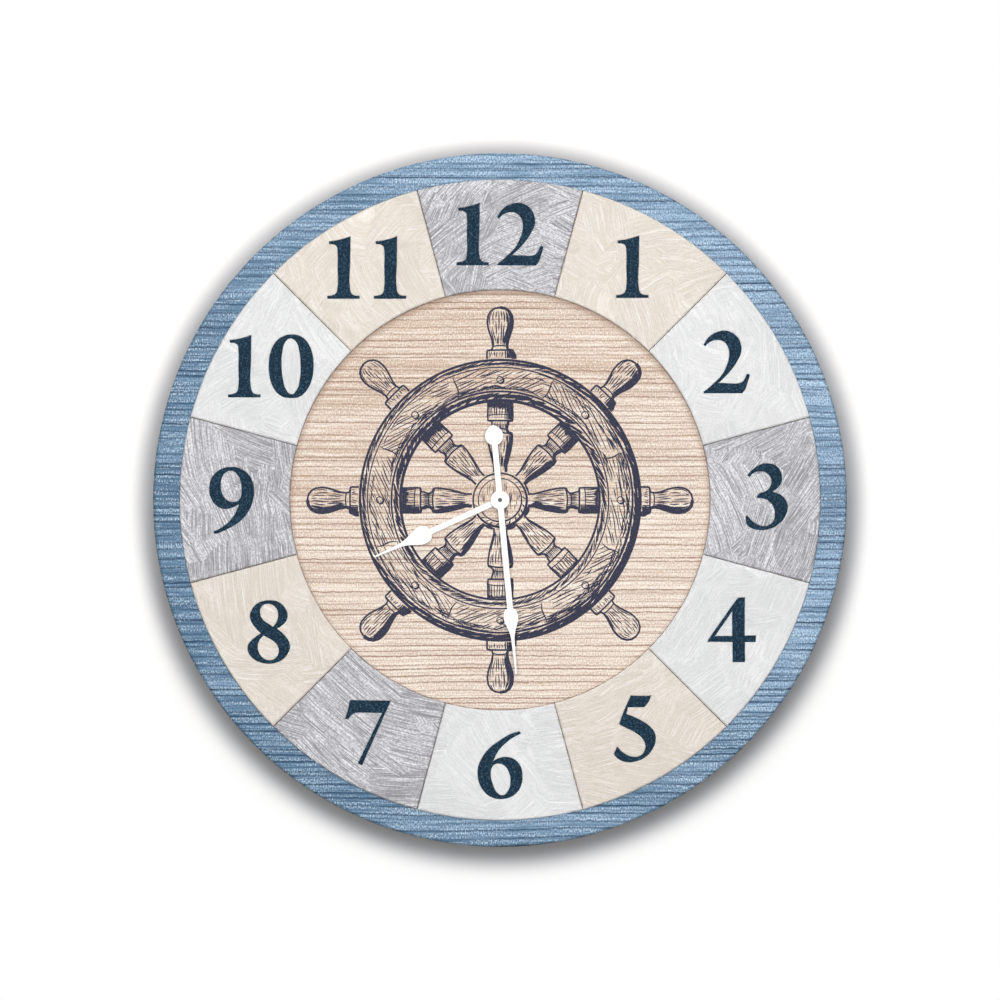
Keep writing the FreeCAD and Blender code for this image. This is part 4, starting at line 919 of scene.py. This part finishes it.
def grain_line(pen, middle, tilt, offset):
    """One wavering grain line of a felloe, broken into strokes where it leaves the felloe."""
    along, centre, step, reach = polar(1, middle + 90 - tilt), polar(120.5, middle), 2.6, 70
    aside = Vector((-along.y, along.x))
    wave, swing = pen.between(0, tau), pen.between(.3, 1.1)
    room = pen.between(10, 44)
    run, position = [], -reach
    while position < reach:
        position += step
        point = centre + along * position + aside * (offset + swing * sin(position / 9 + wave))
        apart = (degrees(atan2(point.x, point.y)) - middle + 180) % 360 - 180
        inside = 109.8 < point.length < 131.6 and abs(apart) < SPOKE_STEP / 2 - .6
        if inside:
            run.append(point)
        if run and (not inside or (len(run) - 1) * step > room):
            if len(run) > 3:
                pen.tapered(run, pen.between(.75, 1.4))
            run = []
            room = pen.between(10, 44)
            position += pen.between(0, 5)


def draw_turning(pen, angle, profile, start, end, lanes=8):
    """A turned spoke or handle: its two sides, its grain and the shade on its darker side."""
    out, side = polar(1, angle), polar(1, angle + 90)
    for sign in (-1, 1):
        shade = max(0.0, (side * sign).dot(SHADE_TOWARDS))
        pen.draw([out * r + side * (sign * s) for r, s in profile], [1.9 + 1.9 * shade] * len(profile))
        radii = [start + (end - start) * i / 7 for i in range(8)]
        if shade > .15:
            for reach, heavy in ((.84, 2.8), (.66, 1.6)):
                pen.tapered([out * r + side * (sign * reach * share_of(profile, r)) for r in radii],
                            1.0 + heavy * shade)
    for i in range(lanes):
        lane = -.82 + 1.64 * i / (lanes - 1)
        shade = max(0.0, lane * side.dot(SHADE_TOWARDS))
        position = start + pen.between(0, 5)
        while position < end - 4:
            stop = min(end, position + pen.between(8, 24))
            wave, swing = pen.between(0, tau), pen.between(.2, .7)
            steps = [position + (stop - position) * j / 5 for j in range(6)]
            points = [out * r + side * (lane * share_of(profile, r) + swing * sin(r / 5 + wave))
                      for r in steps]
            pen.tapered(points, pen.between(.85, 1.25) * (1 + 1.2 * shade))
            position = stop + pen.between(.5, 4)


def draw_spokes(pen):
    """The eight spokes inside the rim and the eight handles outside it."""
    for k in range(SPOKES):
        angle = SPOKE_STEP * k
        out, side = polar(1, angle), polar(1, angle + 90)
        draw_turning(pen, angle, SPOKE_PROFILE, 31, 65)
        draw_turning(pen, angle, HANDLE_PROFILE, 154, 189)
        for radius, half, bow, width in TURNED_RINGS:
            points = [out * (radius + bow * (1 - t * t)) + side * (half * t)
                      for t in (-1, -.6, -.2, .2, .6, 1)]
            pen.draw(points, [width] * len(points))
        for sign in (-1, 1):
            draw_block_shade(pen, out, side * sign, (side * sign).dot(SHADE_TOWARDS))
        for i in range(9):
            place = -10.4 + 2.6 * i + pen.between(-.6, .6)
            for low, high in ((80.5, 98.5), (142, 148.5)):
                start = low + pen.between(0, 4)
                points = [out * (start + t * (high - start)) + side * (place + .5 * sin(4 * t + i))
                          for t in THIRDS]
                pen.tapered(points, pen.between(.8, 1.4))
        over = .4 + .6 * facing(angle, 335)
        for i in range(12):
            reach = pen.between(3, 5) + 8 * (over - .4) * (1 if i > 4 else .7)
            points = [out * (99.5 - reach * t) + side * (-11 + 2 * i) for t in (0, .5, 1)]
            pen.tapered(points, 1.4 + 2.2 * over)
        for i in range(8):
            place = -5.8 + 1.65 * i
            points = [out * (67.5 + 11 * t) + side * (place * (1 + .12 * cos(6 * t))) for t in THIRDS]
            pen.tapered(points, pen.between(.8, 1.5))
        nail = polar(120.3, angle)
        pen.draw([nail + polar(3.3, 22.5 * i) for i in range(16)], [1.1] * 16, True)
        pen.draw([nail + polar(4.0, turn) for turn in range(70, 196, 25)], [.5, 1.4, 2.1, 2.2, 1.5, .5])
        pen.draw([nail + polar(1.6, turn) for turn in (100, 130, 160)], [.4, 1.0, .4])


def draw_block_shade(pen, out, side, shade):
    """The solid shade on one side of a spoke's end block and at a handle's root."""
    if shade < .2:
        return
    for low, high, half in ((80.5, 99, 10.8), (142, 149, 11.2)):
        for i in range(4):
            ends = [out * (low + (high - low) * t) + side * (half - 1.9 * i) for t in (0, .5, 1)]
            pen.draw(ends, [max(.8, 2.6 - .5 * i) * (.6 + .5 * shade)] * 3)
    pen.draw([out * 141 + side * 14.6, out * 144.5 + side * 14.9, out * 149 + side * 13.6], [4.2, 3.4, .8])


def draw_hub(pen):
    """The hub: two rings, upright grain and the shade between the spokes round it."""
    for circle in HUB_CIRCLES:
        pen.circle(*circle)
    for i in range(26):
        angle = 360 * i / 26 + pen.between(-4, 4)
        shade = facing(angle, 140)
        if shade > .3:
            pen.tapered([polar(22.6, angle), polar(24.2, angle + 4), polar(26, angle + 8)], .8 + .9 * shade)
    for _ in range(34):
        x = pen.between(-19.5, 19.5)
        high = sqrt(20 ** 2 - x * x)
        start = pen.between(-high, high * .6)
        end = min(high, start + pen.between(5, 16))
        if end - start > 3:
            heights = [start, start + (end - start) * .33, start + (end - start) * .66, end]
            pen.tapered([Vector((x + .4 * sin(y / 4 + x), y)) for y in heights], pen.between(.5, .95))
    for k in range(SPOKES):
        angle = SPOKE_STEP * k + SPOKE_STEP / 2
        shade = polar(1, angle).dot(SHADE_TOWARDS)
        if shade > -.2:
            width = 1.2 + 2.6 * max(0.0, shade)
            pen.draw([polar(29.4, angle + spread) for spread in (-12, -6, 0, 6, 12)],
                     [.6, width, width * 1.2, width, .6])


def ink_mesh(pen, level):
    """All strokes as thin flat solids that lie on a level."""
    curve = bpy.data.curves.new("strokes", "CURVE")
    curve.dimensions, curve.fill_mode, curve.twist_mode = "3D", "FULL", "Z_UP"
    curve.bevel_depth, curve.bevel_resolution, curve.use_fill_caps = PIXEL / 2, 0, True
    curve.resolution_u = 1
    for points, widths, closed in pen.strokes:
        spline = curve.splines.new("POLY")
        spline.points.add(len(points) - 1)
        spline.use_cyclic_u = closed
        for knot, point, width in zip(spline.points, points, widths):
            knot.co = (point.x * PIXEL, point.y * PIXEL, 0, 1)
            knot.radius = width
    shape = solid_of(curve)
    bmesh.ops.scale(shape, vec=(1, 1, INK_FLATNESS), verts=shape.verts)
    bmesh.ops.transform(shape, matrix=UPRIGHT, verts=shape.verts)
    move(shape, (AXIS.x, level, AXIS.z))
    return shape


# ---- Operators --------------------------------------------------------------------------------------


class CLOCK_OT_board(bpy.types.Operator):
    """Builds the stained board with its shallow pocket"""

    bl_idname = "clock.board"
    bl_label = "Board"

    def execute(self, context):
        sizes = context.scene.clock_sizes
        front, back, floor = board_low.y, board_high.y, tile_high.y
        pocket = TILE_OUTER + .06 * MM
        bore, well = 4.2 * MM, washer_high.x + 1.2 * MM
        profile = [(bore, back), (BOARD_RADIUS, back), (BOARD_RADIUS, front), (pocket, front),
                   (pocket, floor), (well, floor), (well, washer_high.y), (bore, washer_high.y)]
        shape = ring_of(profile, BOARD_STEPS)
        round_edges(shape, ring_edges(shape, BOARD_RADIUS, front), sizes.board_round, 6)
        round_edges(shape, ring_edges(shape, BOARD_RADIUS, back), sizes.board_back_bevel, 2)
        round_edges(shape, ring_edges(shape, pocket, front), .15 * MM, 2)
        for face in shape.faces:
            place = face.calc_center_median()
            outside = hypot(place.x - AXIS.x, place.z - AXIS.z) > BOARD_RADIUS - 2 * MM
            stained = place.y < floor - .5 * MM or (outside and place.y < back - .05 * MM)
            face.material_index = 0 if stained else 1
        piece = new_piece("board", "clock", "blue_stained_wood", "raw_board", named_slot="blue_stained_wood")
        fill_piece(piece, shape)
        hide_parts("backboard")
        return {"FINISHED"}


class CLOCK_OT_tiles(bpy.types.Operator):
    """Builds the twelve trowelled tiles, engraves their numerals and paints them"""

    bl_idname = "clock.tiles"
    bl_label = "Tiles and numerals"

    def execute(self, context):
        sizes = context.scene.clock_sizes
        for number in HOURS:
            tone = next(tone for tone, hours in TILE_TONES.items() if number in hours)
            piece = self.build_tile(number, tone, sizes)
            outlines, place = self.numeral_outlines(number, sizes)
            slope, depth = sizes.engraving_slope, sizes.engraving
            spread = sizes.engraving_spread - slope / 2
            half = .5 * MM
            cutter = flat_drawing(outlines, half, slope, spread)
            level = tile_low.y + depth - half - slope
            carve(piece, as_cutter(cutter, (place.x, level, place.y)))
            settle(piece)
            film = sizes.paint_film / 2
            place = (place.x, tile_low.y + depth - film * SUNK, place.y)
            lay_film(f"numeral_{number:02d}", "numeral_paint", outlines, film, place, spread)
        return {"FINISHED"}

    def build_tile(self, number, tone, sizes):
        """One keystone tile, with rounded front edges."""
        front, back = tile_low.y, tile_high.y
        inner, outer = DISC_RADIUS + .08 * MM, TILE_OUTER
        gap = degrees(sizes.tile_gap / (inner + outer))
        start = HOUR_STEP * (number - .5) + gap
        turn = radians(start)
        up = Vector((sin(turn), 0, cos(turn)))
        corners = ((inner, front), (outer, front), (outer, back), (inner, back))
        points = [AXIS + up * radius + Vector((0, level, 0)) for radius, level in corners]
        shape = spin(points, AXIS, (0, 1, 0), TILE_STEPS, radians(HOUR_STEP - 2 * gap))
        bmesh.ops.holes_fill(shape, edges=[edge for edge in shape.edges if edge.is_boundary], sides=0)
        for level in (front, back):
            faces = [face for face in shape.faces if all(abs(v.co.y - level) < TOUCH for v in face.verts)]
            bmesh.ops.dissolve_faces(shape, faces=faces)
        bmesh.ops.recalc_face_normals(shape, faces=shape.faces)
        rim = [edge for edge in shape.edges if all(abs(v.co.y - front) < TOUCH for v in edge.verts)]
        round_edges(shape, rim, sizes.tile_round, 4)
        slot = f"plaster_{tone}"
        piece = new_piece(f"tile_{number:02d}_skim", "clock", slot, named_slot=slot)
        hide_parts(f"tile_{number:02d}")
        store(shape, piece.data)
        return piece

    def numeral_outlines(self, number, sizes):
        """The outlines of an hour's numeral round its own centre, and the place of that centre."""
        digits = str(number)
        height = sizes.numeral_height
        turn = radians(HOUR_STEP * number)
        centre = Vector((AXIS.x, AXIS.z)) + Vector((sin(turn), cos(turn))) * sizes.numeral_ring
        centre += Vector(NUMERAL_SHIFT[number]) * PIXEL
        space = PAIR_SPACE.get(digits, 0) * height
        outlines, reach = [], -space
        for digit in digits:
            reach += space
            tall = height * NUMERAL_TALL[digit]
            shape = NUMERAL_SHAPES[digit]
            low, high = (end(point[0] for point in shape[0]) for end in (min, max))
            for outline in shape:
                outlines.append([(reach + (point[0] - low) * tall, (point[1] - .5) * tall, len(point) == 3)
                                 for point in outline])
            reach += (high - low) * tall
        return [[(x - reach / 2, z, corner) for x, z, corner in outline] for outline in outlines], centre


class CLOCK_OT_disc(bpy.types.Operator):
    """Builds the pale disc and prints the ship's wheel on it"""

    bl_idname = "clock.disc"
    bl_label = "Disc and printed wheel"

    def execute(self, context):
        front, back, bore = disc_low.y, disc_high.y, 3 * MM
        shape = ring_of([(bore, back), (DISC_RADIUS, back), (DISC_RADIUS, front), (bore, front)], DISC_STEPS)
        round_edges(shape, ring_edges(shape, DISC_RADIUS, front), .35 * MM, 3)
        piece = new_piece("disc", "clock", "pale_wood", named_slot="pale_wood")
        fill_piece(piece, shape)
        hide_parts("centre_disc")
        pen = Pen(context.scene.clock_stage.seed)
        draw_rim(pen)
        draw_spokes(pen)
        draw_hub(pen)
        wheel = new_piece("wheel_print", "clock", "print_ink")
        fill_piece(wheel, ink_mesh(pen, front - INK_STANDS), sharp=60, weighted=False)
        return {"FINISHED"}


class CLOCK_OT_hands(bpy.types.Operator):
    """Dresses the white spade hands"""

    bl_idname = "clock.hands"
    bl_label = "Hands"

    def execute(self, context):
        size = context.scene.clock_sizes.hand_edge
        dressed_copy("hour_spade", "hour_hand", "hour_hand_body", "white_enamel", size)
        dressed_copy("minute_spade", "minute_hand", "minute_hand_body", "white_enamel", size)
        return {"FINISHED"}


class CLOCK_OT_movement(bpy.types.Operator):
    """Dresses the case, its cover with sunk signs by the cell and round the knob, and the hanger"""

    bl_idname = "clock.movement"
    bl_label = "Movement and hanger"

    def execute(self, context):
        size = context.scene.clock_sizes.case_edge
        dressed_copy("case_shell", "movement_case", "clock", "black_plastic", size)
        cover = dressed_copy("rear_cover", "movement_cover", "clock", "black_plastic", size)
        depth, film = .35 * MM, .03 * MM
        signs = self.signs(cell_low.x + 4 * MM, cell_high.x - 5 * MM, cover_low.z + 3.4 * MM)
        for count, outlines in enumerate(signs, 1):
            carve(cover, as_cutter(flat_drawing(outlines, depth), (0, cover_high.y, 0)))
            place = (0, cover_high.y - depth + film * SUNK, 0)
            lay_film(f"cover_sign_{count}", "white_enamel", outlines, film, place)
        settle(cover)
        dressed_copy("hanger_plate", "wall_hanger", "clock", "zinc_plated_steel", .12 * MM)
        return {"FINISHED"}

    def signs(self, minus, plus, level):
        """Outlines sunk in the cover: the signs of the cell's ends and a turning arrow round the knob."""
        arm, half = 1.9 * MM, .42 * MM
        bar = ((-arm, -half), (arm, -half), (arm, half), (-arm, half))
        yield [[(minus + x, level + z, 1) for x, z in bar]]
        turns =((arm, half), (half, half), (half, arm), (-half, arm), (-half, half), (-arm, half),
                 (-arm, -half), (-half, -half), (-half, -arm), (half, -arm), (half, -half), (arm, -half))
        yield [[(plus + x, level + z, 1) for x, z in turns]]
        centre = Vector(((knob_low.x + knob_high.x) / 2, (knob_low.z + knob_high.z) / 2))
        radius = (knob_high.x - knob_low.x) / 2 + 2.2 * MM
        bow = [(radius - half, 205 + step * 12) for step in range(6)]
        head = [(radius - 1.1 * MM, 265), (radius, 280), (radius + 1.1 * MM, 265)]
        back = [(radius + half, 205 + step * 12) for step in reversed(range(6))]
        places = [centre + Vector((sin(radians(turn)), cos(radians(turn)))) * away
                  for away, turn in bow + head + back]
        yield [[(place.x, place.y, 1) for place in places]]


class CLOCK_OT_cell(bpy.types.Operator):
    """Builds the round cell with its sleeve and bare ends"""

    bl_idname = "clock.cell"
    bl_label = "Cell"

    def execute(self, context):
        middle = (cell_low + cell_high) / 2
        radius = (cell_high.z - cell_low.z) / 2
        tail, head = cell_low.x, cell_high.x
        body_end = head - 1.0 * MM
        nub = 2.7 * MM
        profile = [(tail, 0), (tail, .62 * radius), (tail + .25 * MM, .66 * radius),
                   (tail + .25 * MM, .74 * radius), (tail, .78 * radius), (tail, radius - .6 * MM),
                   (tail + .18 * MM, radius - .2 * MM), (tail + .6 * MM, radius),
                   (body_end - .6 * MM, radius), (body_end - .18 * MM, radius - .2 * MM),
                   (body_end, radius - .6 * MM), (body_end, .66 * radius), (body_end - .3 * MM, .62 * radius),
                   (body_end - .3 * MM, nub + .3 * MM), (body_end, nub), (head - .25 * MM, nub),
                   (head, nub - .25 * MM), (head, 0)]
        points = [(x, middle.y, middle.z + r) for x, r in profile]
        shape = spin(points, (0, middle.y, middle.z), (1, 0, 0), CELL_STEPS, closed=False)
        for face in shape.faces:
            place = face.calc_center_median()
            from_axis = hypot(place.y - middle.y, place.z - middle.z)
            face.material_index = 0 if from_axis > .8 * radius else 1
        piece = new_piece("cell", "cell_body", "cell_jacket", "nickel_plate", named_slot="cell_jacket")
        fill_piece(piece, shape)
        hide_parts("aa_cell")
        return {"FINISHED"}


class CLOCK_OT_finishes(bpy.types.Operator):
    """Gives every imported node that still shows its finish"""

    bl_idname = "clock.finishes"
    bl_label = "Finishes of the packed nodes"

    def execute(self, context):
        for part in frame["record"]["subparts"]:
            node = frame["nodes"][part["node"]]
            node.data.materials.clear()
            node.data.materials.append(finish(part["material_slot"]))
        return {"FINISHED"}


# Each lamp's place from the dial and its size, in metres.
LAMPS = {"softbox": ((0, -1.63, .206), 1.12), "key": ((0, -1.4, 2.2), .7), "rear": ((-.3, .95, .5), .6)}
# Distances from the dial's axis between which the painted shadow on the wall's coat fades to white, and the wall
# and the floor turn to plain light.
PAINTED_SHADOW_TURNS, WALL_TURNS, FLOOR_TURNS = (.1524, .168), (.156, .173), (.6, 2.4)
SENSOR = 36
HALF_PICTURE = 500
WHITE = (1, 1, 1, 1)


class CLOCK_OT_stage(bpy.types.Operator):
    """Sets the wall, the floor, the lamps and the camera"""

    bl_idname = "clock.stage"
    bl_label = "Stage, lamps and camera"

    def execute(self, context):
        stage = context.scene.clock_stage
        dial = AXIS + Vector((0, board_low.y, 0))
        self.wall()
        self.floor(AXIS.z - stage.floor_drop)
        self.room(stage.room_light)
        for name, (place, size) in LAMPS.items():
            self.lamp(name, dial, Vector(place), size, getattr(stage, name + "_power"))
        camera = placed("camera", bpy.data.cameras.new("camera"))
        camera.data.lens, camera.data.sensor_width = stage.focal, SENSOR
        half_frame = HALF_PICTURE * BOARD_RADIUS / stage.frame_pixels
        camera.location = dial - Vector((0, half_frame * stage.focal / (SENSOR / 2), 0))
        camera.rotation_euler = (radians(90), 0, 0)
        camera.data.clip_start, camera.data.clip_end = .05, 60
        context.scene.camera = camera
        context.scene.view_settings.view_transform = "Standard"
        return {"FINISHED"}

    def plane(self, name, width, matrix, material):
        """A flat square stage plane, and the bare tree of its material."""
        mesh = bpy.data.meshes.new(name)
        shape = bmesh.new()
        scale = Matrix.Diagonal((width / 2, width / 2, 1, 1))
        bmesh.ops.create_grid(shape, x_segments=1, y_segments=1, size=1, matrix=matrix @ scale)
        store(shape, mesh)
        placed(name, mesh)
        mesh.materials.append(bpy.data.materials.new(material))
        return bare_tree(mesh.materials[0])

    def seen(self, tree):
        """1 for the rays of the eye, of a reflection and of a view through, and 0 for the light's own."""
        path = every(put(tree, "ShaderNodeLightPath"))
        mirrored = calc("MAXIMUM", path["Is Glossy Ray"], path["Is Transmission Ray"])
        return calc("MAXIMUM", path["Is Camera Ray"], mirrored)

    def mixed(self, factor, first, second):
        """Two shaders mixed by a factor."""
        return put(factor.tree, "ShaderNodeMixShader", {0: factor, 1: first, 2: second})

    def wall(self):
        """A white wall just behind the clock, with a painted shadow darkening its coat round the clock, which
        shows only from the front and only to the eye.
        """
        place = Matrix.Translation((AXIS.x, WALL_LEVEL + .1 * MM, AXIS.z)) @ Matrix.Rotation(pi / 2, 4, "X")
        tree = self.plane("wall", 6, place, "wall_white")
        shown = self.seen(tree) * (1.0 - put(tree, "ShaderNodeNewGeometry", output="Backfacing"))
        glow = put(tree, "ShaderNodeEmission", {"Color": WHITE, "Strength": 1.0})
        # Painted shadow on the wall: the coat is darkened to a cool grey close round the clock, centred a little
        # below the axis, and fades to white outward.
        painted_shadow_distance = vector("DISTANCE", object_place(tree), tuple(AXIS - Vector((0, 0, 3 * MM))))
        tone = tint(ramp(painted_shadow_distance, *PAINTED_SHADOW_TURNS), paint(174, 181, 191), WHITE)
        coat = put(tree, "ShaderNodeBsdfDiffuse", {"Color": tone})
        away = vector("DISTANCE", object_place(tree), tuple(AXIS))
        surface = self.mixed(ramp(away, *WALL_TURNS), coat, glow)
        surface = self.mixed(shown, put(tree, "ShaderNodeBsdfTransparent"), surface)
        put(tree, "ShaderNodeOutputMaterial", {"Surface": surface})

    def floor(self, level):
        """A pale floor far below the clock."""
        tree = self.plane("floor", 12, Matrix.Translation((0, 0, level)), "floor_pale")
        coat = put(tree, "ShaderNodeBsdfDiffuse", {"Color": (.3, .3, .3, 1)})
        glow = put(tree, "ShaderNodeEmission", {"Color": WHITE, "Strength": 1.0})
        away = vector("DISTANCE", object_place(tree), (AXIS.x, 0, level))
        surface = self.mixed(self.seen(tree) * ramp(away, *FLOOR_TURNS, .92, 1.0), coat, glow)
        put(tree, "ShaderNodeOutputMaterial", {"Surface": surface})

    def room(self, strength):
        """Even room light, white where the eye or a reflection looks past everything."""
        world = bpy.context.scene.world = bpy.data.worlds.new("room")
        tree = bare_tree(world)
        level = ramp(self.seen(tree), 0, 1, strength, 1.0)
        put(tree, "ShaderNodeOutputWorld",
            {"Surface": put(tree, "ShaderNodeBackground", {"Color": WHITE, "Strength": level})})

    def lamp(self, name, dial, place, size, power):
        """A square area lamp that looks at the dial."""
        lamp = placed(name, bpy.data.lights.new(name, "AREA"))
        lamp.data.shape, lamp.data.size, lamp.data.energy = "SQUARE", size, power
        lamp.location = dial + place
        lamp.rotation_mode = "QUATERNION"
        lamp.rotation_quaternion = (-place).to_track_quat("-Z", "Y")


class CLOCK_PT_panel(bpy.types.Panel):
    """Lists the clock's makers and what may be changed"""

    bl_idname = "CLOCK_PT_panel"
    bl_label = "Nautical wall clock"
    bl_space_type = "VIEW_3D"
    bl_region_type = "UI"
    bl_category = "Clock"

    def draw(self, context):
        for maker in MAKERS:
            self.layout.operator(maker.bl_idname)
        for group in (context.scene.clock_sizes, context.scene.clock_colours, context.scene.clock_stage):
            box = self.layout.box()
            for key in group.bl_rna.properties.keys():
                if key not in ("rna_type", "name"):
                    box.prop(group, key)


MAKERS = (CLOCK_OT_stage, CLOCK_OT_finishes, CLOCK_OT_board, CLOCK_OT_tiles, CLOCK_OT_disc, CLOCK_OT_hands,
          CLOCK_OT_movement, CLOCK_OT_cell)
GROUPS = {"clock_sizes": ClockSizes, "clock_colours": ClockColours, "clock_stage": ClockStage}


def register():
    """Registers the clock's properties, makers and panel."""
    for label, group in GROUPS.items():
        bpy.utils.register_class(group)
        setattr(bpy.types.Scene, label, PointerProperty(type=group))
    for maker in MAKERS + (CLOCK_PT_panel,):
        bpy.utils.register_class(maker)


def unregister():
    """Takes the clock's properties, makers and panel out again."""
    for maker in MAKERS + (CLOCK_PT_panel,):
        bpy.utils.unregister_class(maker)
    for label, group in GROUPS.items():
        delattr(bpy.types.Scene, label)
        bpy.utils.unregister_class(group)


def main():
    """Makes the whole clock."""
    register()
    for maker in MAKERS:
        family, action = maker.bl_idname.split(".")
        getattr(getattr(bpy.ops, family), action)()


if __name__ == "__main__":
    main()
